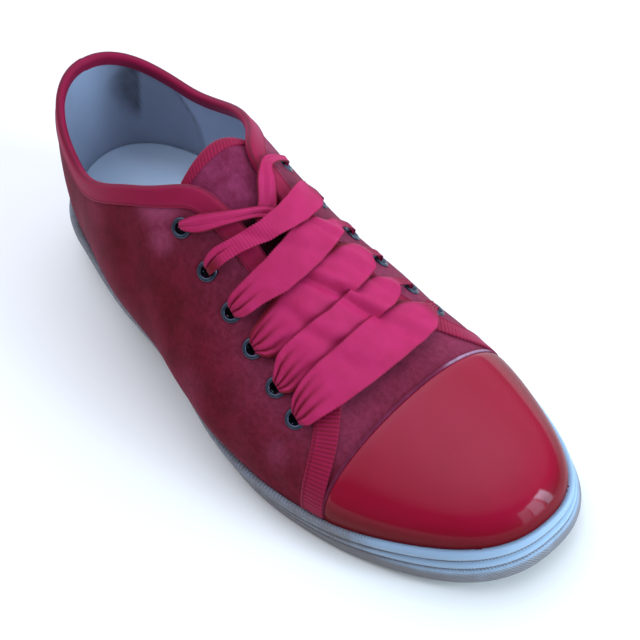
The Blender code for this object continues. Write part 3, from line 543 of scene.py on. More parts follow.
def ringed_solid(rings, first_lid, last_lid):
    """Points and faces of a solid: closed rings round the shoe, and a lid on the first and on the last of them.

    Each lid is the number of its rows from the outer to the inner side, and a function that says how far it
    rises over the plain sheet, from its points and their share of the way across.
    """
    count = len(rings[0])
    outer = np.arange(count // 2 + 1)
    points = [np.concatenate(rings)]
    faces = [grid_faces(len(rings), count, close_cols=True)[:, ::-1]]
    for ring, (rows, rise), way in ((rings[0], first_lid, 1), (rings[-1], last_lid, -1)):
        share = np.linspace(0.0, 1.0, rows)[None, :, None]
        lid = ring[outer][:, None] * (1.0 - share) + ring[-outer % count][:, None] * share
        lid[..., 2] += rise(lid, share[..., 0])
        faces.append((grid_faces(len(outer), rows) + sum(len(part) for part in points))[:, ::way])
        points.append(lid.reshape(-1, 3))
    return np.concatenate(points), np.concatenate(faces)


def distance_to(points, path):
    """Distance from every point to the nearest point of a path."""
    flat = points.reshape(-1, 3)
    best = np.full(len(flat), np.inf)
    for spot in path:
        best = np.minimum(best, np.linalg.norm(flat - spot, axis=-1))
    return best.reshape(points.shape[:-1])


# ---------------------------------------------------------------- materials


class Value:
    """A number that varies over a surface: the operators add Math nodes to its material."""

    def __init__(self, finish, socket):
        self.finish, self.socket = finish, socket

    def __add__(self, other):
        return self.finish.math("ADD", self, other)

    def __rsub__(self, other):
        return self.finish.math("SUBTRACT", other, self)

    def __mul__(self, other):
        return self.finish.math("MULTIPLY", self, other)

    __radd__, __rmul__ = __add__, __mul__


class Finish:
    """A material being made: its Principled shader and the nodes that feed it."""

    def __init__(self, name, **fixed):
        self.material = bpy.data.materials.new(name)
        self.material.use_nodes = True
        self.tree = self.material.node_tree
        self.shader = self.tree.nodes["Principled BSDF"]
        self.feed(**fixed)

    def feed(self, **values):
        """Set or link the shader's sockets, named in lower case with underscores."""
        for name, value in values.items():
            self.put(self.shader.inputs[name.replace("_", " ").title().replace("Ior", "IOR")], value)

    def put(self, socket, value):
        """Link a varying value to the socket, or set the fixed one on it."""
        if isinstance(value, Value):
            self.tree.links.new(value.socket, socket)
        elif isinstance(value, tuple) and socket.type == "RGBA":
            socket.default_value = (*value, 1.0)
        else:
            socket.default_value = value

    def node(self, kind, settings=None, **values):
        """Add a node: its settings first, then the values or links of its sockets. Returns its first output."""
        made = self.tree.nodes.new(f"ShaderNode{kind}")
        for name, value in (settings or {}).items():
            setattr(made, name, value)
        for name, value in values.items():
            self.put(made.inputs[int(name[1:]) if name[1:].isdigit() else name.title()], value)
        return Value(self, next(socket for socket in made.outputs if socket.enabled))

    def math(self, operation, *values):
        return self.node("Math", {"operation": operation}, **{f"i{k}": value for k, value in enumerate(values)})

    def step(self, low, high, value):
        """The smooth step from 0 at low to 1 at high."""
        return self.node("MapRange", {"interpolation_type": "SMOOTHSTEP"}, i0=value, i1=low, i2=high, i3=0.0,
                         i4=1.0)

    def mix(self, share, first, second):
        """A colour between the first, at share 0, and the second, at 1."""
        return self.node("Mix", {"data_type": "RGBA"}, i0=share, i6=first, i7=second)

    def painted(self, name, output):
        """A named attribute of the mesh."""
        spot = self.tree.nodes.new("ShaderNodeAttribute")
        spot.attribute_name = name
        return Value(self, spot.outputs[output])

    def wear_and_shading(self):
        """How much of the second colour the surface takes: real scuffing and staining on some pieces, painted
        highlights and shade on others.
        """
        return self.painted("wear_and_shading", "Fac")

    def noise(self, size, detail=2.0, roughness=0.5):
        """Noise from 0 to 1 with features of that size, in millimetres."""
        spot = self.tree.nodes.new("ShaderNodeTexCoord")
        return self.node("TexNoise", i0=Value(self, spot.outputs["Object"]), scale=1.0 / (size * MM), detail=detail,
                         roughness=roughness)

    def ribs(self, direction, pitch):
        """Ribs from 0 to 1 across the piece's lay, at that pitch in millimetres."""
        return self.node("TexWave", {"wave_type": "BANDS", "bands_direction": direction, "wave_profile": "SIN"},
                         i0=self.painted("lay", "Vector"), scale=math.pi / 10.0 / pitch, distortion=0.0)

    def bump(self, height, depth, strength=1.0):
        """Feed the shader's normal with a height, 0 to 1, that stands for that depth in millimetres."""
        self.feed(normal=self.node("Bump", height=height, distance=depth * MM, strength=strength))


def suede_finish(name, dark, light, worn_and_shading):
    """Napped suede: brushed patches over a fine nap, and a second colour laid on by the attribute: paler and pinker
    for scuffs and a painted sheen on the upper, a painted pale glint on the vamp's fold, painted dark shade on the
    tongue.
    """
    made = Finish(name, specular_ior_level=0.15, sheen_weight=0.12, sheen_roughness=0.5,
                  sheen_tint=(0.95, 0.30, 0.50))
    brushed = made.noise(9.0, detail=3.0, roughness=0.6)
    mottled = made.noise(2.2, detail=4.0, roughness=0.7)
    nap = made.noise(0.35, detail=2.0)
    tone = made.step(0.34, 0.70, brushed * 0.55 + mottled * 0.30 + nap * 0.15)
    rubbed_and_highlight = made.step(0.10, 1.0, made.wear_and_shading() * (0.55 + 0.9 * mottled))
    made.feed(base_color=made.mix(rubbed_and_highlight, made.mix(tone, dark, light), worn_and_shading), roughness=0.82 + 0.14 * nap)
    made.bump(nap * 0.7 + mottled * 0.3, 0.25, 0.5)
    return made.material


def ribbon_finish(name, dark, light, worn_and_shading, pitch, depth, relief):
    """Ribbed ribbon: fine ribs across it, with a soft satin gloss, and a darker second colour where painted shade
    lies: at its edges, creases and turns and under its neighbours.
    """
    made = Finish(name, specular_ior_level=0.2, sheen_weight=0.1, sheen_roughness=0.4, sheen_tint=(1.0, 0.35, 0.6))
    ribs = made.ribs("X", pitch)
    cloth = made.noise(6.0, detail=3.0)
    weave = made.noise(0.5, detail=1.0)
    shade = made.step(0.15, 0.85, ribs * depth + cloth * (0.8 - depth) + weave * 0.2)
    made.feed(base_color=made.mix(made.wear_and_shading(), made.mix(shade, dark, light), worn_and_shading), roughness=0.55 + 0.2 * cloth)
    made.bump(ribs * 0.6 + weave * 0.1, 0.16 * relief, 0.7)
    return made.material


def patent_finish():
    """Patent leather: a deep red under a hard clear coat, with faint waves and a fine grain. Painted shade darkens
    the red and thins the coat where the attribute says.
    """
    made = Finish("red_patent_leather", coat_roughness=0.09, coat_ior=1.3, roughness=0.5,
                  specular_ior_level=0.05)
    cloud = made.noise(14.0, detail=2.0)
    made.feed(base_color=made.mix(made.wear_and_shading(), made.mix(cloud, (0.27, 0.0003, 0.014), (0.31, 0.0005, 0.024)),
                                  (0.13, 0.0001, 0.003)), coat_weight=1.0 - made.wear_and_shading() * 0.85)
    waves = made.noise(13.0, detail=1.0)
    grain = made.noise(1.6, detail=2.0)
    made.bump(waves * 0.97 + grain * 0.03, 1.8, 0.4)
    return made.material


def rubber_finish():
    """Pale rubber, darker along its lower edge and in its grooves, with painted shade over its outer side, and a fine
    moulded grain.
    """
    made = Finish("pale_rubber", specular_ior_level=0.4)
    dirt = made.noise(7.0, detail=5.0, roughness=0.65)
    specks = made.noise(0.9, detail=2.0)
    ribbed = made.ribs("DIAGONAL", 0.75) * made.step(0.30, 0.60, made.wear_and_shading())
    soiled_and_shaded = made.step(0.30, 0.95, made.wear_and_shading() * (0.45 + 1.0 * dirt) + 0.12 * specks + 0.22 * ribbed)
    made.feed(base_color=made.mix(soiled_and_shaded, (0.30, 0.41, 0.53), (0.20, 0.185, 0.19)), roughness=0.5 + 0.25 * dirt)
    made.bump(made.noise(0.5, detail=2.0) * 0.2 + ribbed * 0.8, 0.4, 0.8)
    return made.material


def leather_finish(name, specular, cloud_size, grain_size, first, second, soiled_and_shaded, roughness_spread, soil_and_shade):
    """Smooth pale leather, clouded between two shades, with a third one laid on by the attribute: real stains and a
    seam line on the lining, painted shade on the footbed.
    """
    made = Finish(name, specular_ior_level=specular)
    cloud = made.noise(cloud_size, detail=3.0)
    grain = made.noise(grain_size, detail=3.0)
    clean = made.mix(cloud, first, second)
    made.feed(base_color=made.mix(soil_and_shade(made, cloud), clean, soiled_and_shaded), roughness=0.6 + roughness_spread * cloud)
    made.bump(grain, 0.12, 0.4)
    return made.material


def metal_finish():
    """Dark plated metal."""
    made = Finish("dark_plated_metal", metallic=1.0)
    cloud = made.noise(2.0, detail=2.0)
    made.feed(base_color=made.mix(cloud, (0.035, 0.045, 0.065), (0.085, 0.10, 0.13)), roughness=0.28 + 0.15 * cloud)
    return made.material


# Each suede's last colour is its second colour: scuffs and a painted sheen on the upper, a painted pale glint on the
# fold, painted shade under the laces on the tongue. The tongue's own two shades are the upper's suede painted
# lighter.
SUEDE = suede_finish("burgundy_suede_nap", (0.088, 0.0008, 0.0042), (0.160, 0.0034, 0.015), (0.33, 0.050, 0.110))
FOLD_SUEDE = suede_finish("fold_suede_nap", (0.10, 0.006, 0.020), (0.17, 0.018, 0.050), (0.62, 0.42, 0.55))
TONGUE_SUEDE = suede_finish("tongue_suede_nap", (0.15, 0.009, 0.034), (0.26, 0.030, 0.085), (0.03, 0.001, 0.006))
# The ribbons' last colour is painted shade.
LACE_RIBBON = ribbon_finish("lace_ribbon_weave", (0.40, 0.009, 0.066), (0.49, 0.017, 0.103), (0.17, 0.0008, 0.010),
                            1.25, 0.05, 0.12)
BINDING_RIBBON = ribbon_finish("binding_ribbon_weave", (0.20, 0.001, 0.018), (0.33, 0.004, 0.048),
                               (0.13, 0.001, 0.014), 1.7, 0.45, 1.0)
PATENT = patent_finish()
RUBBER = rubber_finish()
LINING = leather_finish("pale_lining_leather", 0.3, 12.0, 0.7, (0.42, 0.47, 0.59), (0.51, 0.57, 0.70),
                        (0.040, 0.026, 0.024), 0.2, lambda made, cloud: made.wear_and_shading() * (0.55 + 0.9 * cloud))
FOOTBED = leather_finish("pale_footbed_leather", 0.25, 16.0, 0.8, (0.62, 0.77, 0.90), (0.74, 0.86, 0.95),
                         (0.24, 0.27, 0.33), 0.15, lambda made, cloud: made.step(0.3, 1.0, made.wear_and_shading()))
METAL = metal_finish()

# ---------------------------------------------------------------- creases, seams and wear of the upper

# Soft troughs and ridges pressed into the upper: side, from and to as distance from the heel and share of the
# way up, half width, and height, which is negative for a trough
CREASES = (
    (-1, 92.0, 0.40, 120.0, 0.16, 9.0, -0.9),
    (-1, 128.0, 0.40, 150.0, 0.12, 8.0, -0.8),
    (-1, 160.0, 0.42, 178.0, 0.14, 7.0, -0.8),
    (-1, 186.0, 0.36, 200.0, 0.10, 5.0, -0.9),
    (-1, 176.0, 0.30, 196.0, 0.22, 4.0, 0.6),
    (-1, 202.0, 0.45, 210.0, 0.12, 3.5, -0.6),
    (1, 96.0, 0.40, 126.0, 0.18, 9.0, -0.8),
    (1, 140.0, 0.38, 168.0, 0.14, 8.0, -0.9),
    (1, 178.0, 0.36, 196.0, 0.14, 6.0, -0.7),
    (-1, 14.0, 0.34, 26.0, 0.10, 6.0, -0.5),
    (1, 16.0, 0.34, 30.0, 0.12, 6.0, -0.5),
)
# Rubbed patches of the suede: side, distance from the heel, share of the way up, radius and strength
SCUFFS = (
    (-1, 104.0, 0.60, 13.0, 1.0),
    (-1, 112.0, 0.50, 9.0, 0.7),
    (-1, 70.0, 0.36, 14.0, 0.35),
    (-1, 150.0, 0.20, 16.0, 0.35),
    (-1, 196.0, 0.30, 10.0, 0.5),
    (1, 108.0, 0.60, 14.0, 0.6),
    (1, 160.0, 0.30, 18.0, 0.4),
)
HEEL_PANEL = 61.0       # walk from the heel's back line to the edge of the lining's heel panel
QUARTER_STEP = 0.55     # the quarters lie on the vamp with this thickness


def front_edge_x(share):
    """Distance from the heel of the quarter's front edge, at a share of the way up to the facing's corner."""
    knots = np.array(FRONT_EDGE)[::-1]
    return np.interp(share, knots[:, 1], knots[:, 0])


def crease_height(points, side):
    """The creases' own height over the surface: a bell across each line that fades towards its ends."""
    height = np.zeros(points.shape[:-1])
    for way, from_x, from_t, to_x, to_t, half_width, rise in CREASES:
        line = upper_point(u_of(np.linspace(from_x, to_x, 17)), np.linspace(from_t, to_t, 17), way)
        height += np.where(side == way, rise * bell(distance_to(points, line), half_width), 0.0)
    return height


def relief(u, t, side):
    """Height of the suede over the plain surface: the quarters' step, the creases and a slight unevenness."""
    point = upper_point(u, t, side)
    side = np.where(u < 0.0, -side, side) * np.ones_like(t)
    x = x_of(u) + 0.0 * t
    corner = of_side({way: edge_share(u_of(FRONT_EDGE[0][0]), way) for way in (-1, 1)}, side)
    step = QUARTER_STEP * smooth(-0.9, 0.9, front_edge_x(np.clip(t, 0.0, 1.0) / corner) - x)
    uneven = (0.22 * np.sin(x / 17.0 + 2.3 * t) * np.sin(5.1 * t + x / 31.0)
              + 0.10 * np.sin(x / 7.3 + 9.0 * t) * np.sin(11.0 * t - x / 12.0))
    fade = smooth(0.0, 0.12, t) * smooth(UPPER_END - 1.0, UPPER_END - 40.0, x)
    return step + (crease_height(point, side) + uneven) * fade


def suede_sheen_and_scuffs(points, t, side):
    """How pale the suede is: a painted sheen, standing for light on the nap, that grows towards the facings, and the
    scuffed patches, bells on it.
    """
    x = points[..., 0]
    # Painted sheen: paler towards the facings and the front, less on the vamp's top by the cap.
    wear_and_shading = 0.04 + 0.42 * smooth(0.15, 0.80, t) * smooth(35.0, 90.0, x) + 0.18 * smooth(125.0, 185.0, x)
    wear_and_shading = wear_and_shading - 0.24 * smooth(0.45, 0.9, t) * smooth(200.0, 212.0, x)
    for way, from_heel, up, radius, strength in SCUFFS:
        away = np.linalg.norm(points - upper_point(u_of(from_heel), up, way), axis=-1)
        wear_and_shading = np.maximum(wear_and_shading, np.where(side == way, strength * bell(away, radius), 0.0))
    return wear_and_shading


def upper_walks(step):
    """Signed walks from the toe round the heel and back to the toe, closer where the throat ends."""
    start, end = THROAT_CLOSE
    quarter = np.linspace(0.0, float(u_of(start)), int(u_of(start) / step))
    closing = u_of(start + (end - start) * np.sin(np.linspace(0.0, math.pi / 2.0, 14)))[1:]
    vamp = np.linspace(float(u_of(end)), U_END, int((U_END - u_of(end)) / step))[1:]
    half = np.concatenate([quarter, closing, vamp])
    return np.concatenate([-half[:0:-1], half])


def upper_grid(step, rows):
    """Walks, shares and sides of a grid over the whole upper, from just inside the sole to its open edge."""
    walks = upper_walks(step)
    top = np.where(walks < 0.0, opening_share(np.abs(walks), 1), opening_share(np.abs(walks), -1))
    shares = np.concatenate([[-0.5], np.linspace(0.0, 1.0, rows)])
    t = np.where(shares < 0.0, shares, shares * top[:, None])
    u = walks[:, None] + 0.0 * t
    return u, t, np.where(u < 0.0, 1, -1)


def eyelet_spots():
    """Walk, share and side of every eyelet."""
    u = u_of(np.array(EYELET_X))
    return [(u[k], eyelet_share(u, side)[k], side) for side in (-1, 1) for k in range(len(EYELET_X))]


def faces_off_eyelets(face, radius):
    """The faces of a grid of points whose middle is further than the radius from every eyelet."""
    faces = grid_faces(*face.shape[:2])
    middles = face.reshape(-1, 3)[faces].mean(axis=1)
    holes = np.array([upper_point(*spot) for spot in eyelet_spots()])
    return faces[distance_to(middles, holes) > radius]


def suede_height(u, t):
    """Height of the suede's face over the plain surface: its relief, sunk by a millimetre under the cap."""
    return relief(u, t, -1) - smooth(CAP_SEAM[1] + 3.0, CAP_SEAM[1] + 14.0, x_of(u))


def build_suede_upper():
    """Quarters and vamp: the surface function with its relief, holed for the eyelets."""
    u, t, side = upper_grid(1.7, 58)
    face = off_upper(u, t, -1, suede_height(u, t))
    face[[0, -1], :, 1] = 0.0
    return thicken(sheet_piece("suede_upper", face, SUEDE, suede_sheen_and_scuffs(face, t, side),
                               faces_off_eyelets(face, EYELET_HOLE), weld=0.02), SUEDE_THICK)


def build_lining():
    """The lining inside the suede: two quarters and a heel panel laid over them, greyed where the heel rubs."""
    u, t, _ = upper_grid(1.6, 40)
    panel_edge = HEEL_PANEL - 6.0 * smooth(45.0, 75.0, upper_point(u, t, -1)[..., 2])
    panel = smooth(0.5, -0.5, np.abs(u) - panel_edge)
    pressed = np.minimum(suede_height(u, t) - QUARTER_STEP, 0.0)
    face = off_upper(u, t, -1, pressed - LINING_DEPTH - 0.45 * panel)
    face[[0, -1], :, 1] = 0.0
    z = face[..., 2]
    along = u + 19.0 + 0.25 * (z - 50.0)
    smudge = 0.80 * (smooth(-13.5, -9.5, along) * smooth(16.0, -9.0, along + 3.0 * np.sin(z / 6.0))
                     * smooth(30.0, 52.0, z) * smooth(96.0, 70.0, z + 3.0 * np.sin(u / 4.0)))
    smudge += 0.15 * bell(u - 14.0, 9.0) * bell(z - 70.0, 14.0)
    smudge = np.maximum(smudge, panel * (0.10 + 0.22 * smooth(2.0, -24.0, u)))
    line = 0.35 * bell(np.abs(u) - panel_edge, 0.9)
    return thicken(sheet_piece("lining", face, LINING, np.clip(smudge + line, 0.0, 1.0),
                               faces_off_eyelets(face, LINING_HOLE), weld=0.02), LINING_THICK, 1.0)


def across_shoe(u, low, rows):
    """Walks, shares and sides of a grid that runs over the crown, from share low on each side."""
    q = np.linspace(-1.0, 1.0, rows)
    side = side_of(q[None, :]) * np.ones_like(u)[:, None]
    bottom = of_side({way: share[:, None] for way, share in low.items()}, side)
    return u[:, None] + 0.0 * side, 1.0 - np.abs(q)[None, :] * (1.0 - bottom), side


def seam_x(q):
    """Distance from the heel of the cap's seam, at a place across from -1 to 1."""
    return CAP_SEAM[0] + (CAP_SEAM[1] - CAP_SEAM[0]) * np.abs(q) ** 2.5


def build_toe_cap():
    """The patent cap: it rises out of its seam with the vamp and runs over the toe down to the lip. Painted shade
    darkens it, with less coat, near the lip and on its steep sides.
    """
    stations, rows = 90, 121
    seam = u_of(seam_x(np.linspace(-1.0, 1.0, rows)))
    share = np.linspace(0.0, 1.0, stations)[:, None] ** 1.15
    u = seam + (U_END - seam) * share
    low = np.full(stations, -0.15)
    _, t, side = across_shoe(u[:, 0], {-1: low, 1: low}, rows)
    face = off_upper(u, t, side, 0.2 + 1.05 * (1.0 - np.exp((seam - u) / 1.3)))
    face[-1] = face[-1].mean(axis=0)
    low_edge = last["feather"](np.minimum(face[..., 0], LENGTH)) + 0.2
    face[..., 2] = np.maximum(face[..., 2], low_edge - 0.6)
    # Painted shade: darker, with less coat, near the lip and on the steep sides.
    facing_up = upper_frame(u, t, side)[1][..., 2]
    steep = of_side({-1: 0.8 * smooth(0.70, 0.30, facing_up), 1: 0.75 * smooth(0.90, 0.66, facing_up)}, side)
    wear_and_shading = np.maximum(smooth(13.0, 0.5, face[..., 2] - low_edge), steep)
    return thicken(sheet_piece("patent_toe_cap", face, PATENT, wear_and_shading, weld=0.02), CAP_THICK)


def build_vamp_fold():
    """The vamp's folded edge, a soft raised roll of suede along the cap's seam, with a pale glint painted along its
    top over the inner half.
    """
    q = np.linspace(-1.0, 1.0, 141)
    point, normal, _, _ = upper_frame(u_of(seam_x(q) - 0.4), 1.0 - np.abs(q) * 1.02, side_of(q))
    ahead = unit(np.cross(unit(np.gradient(point, axis=0)), normal))
    turn = np.linspace(0.0, 2.0 * math.pi, 15)[:-1]
    section = np.stack([0.75 * np.cos(turn), 0.45 + 0.62 * np.sin(turn)], axis=-1)
    roll = swept(point, ahead, normal, section)
    # A pale glint painted along the roll's top over the inner half.
    rubbed_and_highlight = 0.5 * smooth(0.05, 0.25, q) * smooth(0.72, 0.55, q)
    return sheet_piece("vamp_fold", roll, FOLD_SUEDE, rubbed_and_highlight[:, None] * np.clip(section[:, 1], 0.0, 1.0), tube=True)


def binding_path(step):
    """Signed walks and shares along the quarters' edge, and how far each is down a front edge, 0 to 1."""
    knots = np.array(FRONT_EDGE)
    pace = np.arange(len(knots), dtype=float)
    fine = np.linspace(0.0, pace[-1], 60)
    front_x, front_t = spline(pace, knots[:, 0])(fine), spline(pace, knots[:, 1])(fine)
    last_quarter = float(u_of(192.0))
    quarter = np.linspace(0.0, last_quarter, int(last_quarter / step))
    walks = np.concatenate([quarter, u_of(front_x)])
    front = np.concatenate([0.0 * quarter, np.ones_like(front_x)])
    front = np.where(front > 0.0, 1.0, smooth(float(u_of(178.0)), last_quarter, walks))
    halves = []
    for side in (-1, 1):
        corner = edge_share(u_of(front_x)[:1], side)
        t = np.concatenate([edge_share(quarter, side), front_t * corner])
        halves.append(np.stack([-side * walks, t, front], axis=-1))
    path = np.concatenate([halves[1][:0:-1], halves[0]])
    keep = np.concatenate([[True], np.abs(np.diff(path[:, 0])) + np.abs(np.diff(path[:, 1])) * 80.0 > 0.25])
    return path[keep].T


def paces(inward, along, rising):
    """How much walk and share each millimetre inwards takes, from the surface's two slopes."""
    a, b, c = (along ** 2).sum(-1), (along * rising).sum(-1), (rising ** 2).sum(-1)
    d, e = (inward * along).sum(-1), (inward * rising).sum(-1)
    det = a * c - b * b
    return ((d * c - e * b) / det)[:, None], ((e * a - d * b) / det)[:, None]


def build_binding():
    """The ribbon folded over the collar, down the facings and the quarters' front edges, as one strip.

    Its section runs up the outside, round the edge in a half circle, and down the inside. On the front edges
    the half circle is small and its end turns under the quarter.
    """
    u, t, front = binding_path(1.5)
    point, normal, along, rising = upper_frame(u, t, -1)
    inward = unit(np.cross(normal, np.gradient(point, axis=0)))
    inward *= -np.sign(inward[len(inward) // 2, 2])
    inward = unit(np.stack([soften(inward[:, axis], 14) for axis in range(3)], axis=-1))
    broad = (0.83 + 0.17 * smooth(92.0, 112.0, point[:, 0])
             + (BINDING_FRONT / BINDING_WIDTH - 1.0) * smooth(188.0, 199.0, point[:, 0]))
    walk_pace, share_pace = paces(inward, along, rising)

    def off_edge(span, height):
        """Points that far in from the edge, at that height over the upper."""
        reach = broad[:, None] * span
        share = np.clip(t[:, None] + reach * share_pace, 0.01, 1.0)
        return off_upper(u[:, None] + reach * walk_pace, share, -1, height)

    outer_span = np.array([BINDING_WIDTH, 7.35, 6.9, 6.4, 5.9, 5.0, 4.0, 3.0, 2.0, 1.0, 0.0])
    hem = np.array([0.15, 0.60, 0.80, 0.78, 0.60, 0.62, 0.68, 0.72, 0.75, 0.78, 0.8])
    outer = off_edge(outer_span, QUARTER_STEP + hem[None, :] + 0.0 * front[:, None])
    top = QUARTER_STEP + hem[-1]
    bottom = (-(WALL + 0.9) * (1.0 - front) + 0.1 * front)[:, None]
    angle = np.linspace(0.0, math.pi, 9)[1:]
    radius = (top - bottom) / 2.0
    height = (top + bottom) / 2.0 + radius * np.cos(angle)
    roll = (point[:, None] + normal[:, None] * height[..., None]
            - inward[:, None] * (radius * np.sin(angle))[..., None])
    inner_span = np.array([1.0, 2.5, 4.0, 5.0, 5.2])
    inner_drop = np.array([0.0, 0.0, 0.0, 0.0, 0.5])
    under = front[:, None, None]
    inner = off_edge(inner_span, bottom + inner_drop * (1.0 - front)[:, None])
    inner = inner * (1.0 - under) + (roll[:, -1:] + 0.4 * inward[:, None] * inner_span[None, :, None]) * under
    face = np.concatenate([outer, roll, inner], axis=1)
    lay = sheet_lay(face)
    ribbed = smooth(1.0, 1.0 + 0.2 * (BINDING_FRONT / BINDING_WIDTH - 1.0), broad)
    lay[1:, :, 0] = np.cumsum(np.diff(run_along(point)) * ribbed[1:])[:, None]
    # A dark line of painted shade just above the hem's bead, and a darker band on the roll.
    wear_and_shading = np.zeros(face.shape[:2])
    wear_and_shading[:, 3] = 0.8
    wear_and_shading[:, 12:14] = 0.7
    return thicken(mesh_piece("ribbon_binding", face, grid_faces(*face.shape[:2]), BINDING_RIBBON, lay, wear_and_shading), 0.5)


def build_tongue():
    """The tongue under the facings: suede outside, painted dark with shade where it lies under the laces, and it dips
    towards the foot at its top.
    """
    x = np.linspace(*TONGUE, 100)
    u = u_of(x)
    ends = np.minimum((x - TONGUE[0]) / 9.0, (TONGUE[1] - x) / 14.0)
    half = TONGUE_HALF * (0.80 + 0.20 * np.clip(ends, 0.0, 1.0) ** 0.5)
    low = {side: half_share(u, side, half) for side in (-1, 1)}
    walk, t, side = across_shoe(u, low, 61)
    dip = 2.0 * np.clip((TONGUE_BEND - x) / 20.0, 0.0, 2.0)[:, None] ** 2
    face = off_upper(walk, t, side, -(dip + 0.0 * t) - WALL - 1.1)
    # Painted shade under the laces.
    shaded = 1.3 * smooth(130.0, 142.0, x)[:, None] + 0.0 * t
    return thicken(sheet_piece("suede_tongue", face, TONGUE_SUEDE, shaded), 2.6), build_tongue_edge(face)


def build_tongue_edge(face):
    """The ribbon folded over the tongue's top edge: flat on both sides, with a half round between them."""
    edge, inner = face[0], face[6]
    into = unit(inner - edge)
    run = unit(np.gradient(edge, axis=0))
    normal = unit(np.cross(into, run))
    normal *= np.sign(normal[len(normal) // 2, 2])
    turn = np.linspace(0.5 * math.pi, 1.5 * math.pi, 9)
    section = ([(TONGUE_EDGE, 0.1), (TONGUE_EDGE - 0.2, 0.55), (TONGUE_EDGE - 1.0, 0.6), (TONGUE_EDGE / 2.0, 0.55),
                (1.0, 0.6)]
               + [(1.9 * math.cos(a), -1.3 + 1.9 * math.sin(a)) for a in turn]
               + [(2.0, -3.2), (TONGUE_EDGE, -3.1), (TONGUE_EDGE, -2.4)])
    strip = swept(edge, into, normal, section)
    return sheet_piece("tongue_edge_ribbon", strip, BINDING_RIBBON, np.zeros(strip.shape[:2]), tube=True)


def side_profile(count):
    """Share of the sole's height, distance in and taper along its side, with the steps' corners softened."""
    steps = np.array(SIDE_STEPS)
    share = np.linspace(0.0, 1.0, count)
    inset = np.interp(share, steps[:, 0], steps[:, 1])
    kernel = np.array([0.25, 0.5, 0.25])
    soft = np.concatenate([inset[:1], np.convolve(inset, kernel, "valid"), inset[-1:]])
    return share, soft, np.interp(share, steps[:, 0], steps[:, 2])


def build_sole():
    """The cupsole: side steps and lip, the cup inside it, and a tread of cross grooves underneath."""
    stations = 170

    def level(share):
        return lambda x: underside(x) + share * (last["feather"](x) - underside(x))

    rings = [sole_ring(inset, level(share), taper_share, stations) for share, inset, taper_share
             in zip(*side_profile(56))]
    inside = LIP - 0.2
    cup = (1.6, level(1.0)), (inside - 0.6, level(0.995)), (inside, level(0.96)), (inside, cup_floor)
    rings += [sole_ring(inset, height, 0.0, stations) for inset, height in cup]
    points, faces = ringed_solid(rings, (41, tread_height), (5, no_rise))
    x, y, z = points.T
    share = (z - underside(x)) / (last["feather"](x) - underside(x))
    groove = bell(share - 0.73, 0.035) + 0.8 * bell(share - 0.48, 0.03)
    # Painted shade: full on the outer side, fading across the heel to the inner side, and gone towards the toe.
    shaded = smooth(36.0, -28.0, y) * smooth(262.0, 225.0, x)
    wear_and_shading = np.clip(0.85 * smooth(0.62, 0.10, share) + 0.8 * groove + 0.10 + 0.62 * shaded, 0.0, 1.0)
    girth = run_along(np.concatenate([rings[0], rings[0][:1]]))
    lay = np.stack([0.0 * z, z], axis=-1)
    lay[:len(rings) * len(rings[0]), 0] = np.tile(np.minimum(girth, girth[-1] - girth)[:-1], len(rings))
    return mesh_piece("rubber_cupsole", points, faces, RUBBER, lay, wear_and_shading, weld=0.02)


def no_rise(points, share):
    """A plain lid stays on its sheet."""
    return 0.0


def tread_height(points, share):
    """Depth of the tread's grooves: chevrons across the heel and the forefoot, none near the edges."""
    x, y = points[..., 0], points[..., 1]
    phase = (x + 0.35 * np.abs(y)) / TREAD_PITCH
    groove = smooth(0.62, 0.80, np.abs(2.0 * (phase - np.floor(phase)) - 1.0))
    heel, forefoot = smooth(14.0, 20.0, x) * smooth(84.0, 78.0, x), smooth(160.0, 168.0, x) * smooth(262.0, 250.0, x)
    half = {side: last[side](x) * plan_round(x, 0.0, LENGTH) - taper[side](x) for side in (-1, 1)}
    margin = np.minimum(y + half[-1], half[1] - y)
    return TREAD_DEPTH * groove * np.maximum(heel, forefoot) * smooth(3.0, 7.0, margin)


def heel_dish(points, share):
    """The hollow that the heel has pressed into the footbed."""
    return (np.abs(2.0 * share - 1.0) ** 3 - 1.0) * bell(points[..., 0] - 38.0, 22.0)


def build_insole():
    """The footbed: thicker under the heel, its rolled edge pressed against the lining, dished by the foot."""
    lining_edge = LIP + 1.1

    def level(rise):
        return lambda x: cup_floor(x) + GAP + rise * (1.0 + INSOLE_WEDGE * (1.0 - floor_drop(x)))

    rings = [sole_ring(lining_edge + soft, level(rise), 0.0, 110)
             for soft, rise in ((2.5, 0.0), (1.6, 0.8), (1.4, 2.6), (0.2, 3.5), (0.0, 3.9), (0.5, 4.25), (1.3, 4.4))]
    points, faces = ringed_solid(rings, (3, no_rise), (31, heel_dish))
    # Painted shade over the footbed's inner side.
    wear_and_shading = 0.55 * smooth(-14.0, 22.0, points[:, 1] + 5.0 * np.sin(points[:, 0] / 9.0))
    return mesh_piece("footbed", points, faces, FOOTBED, None, wear_and_shading, weld=0.02)


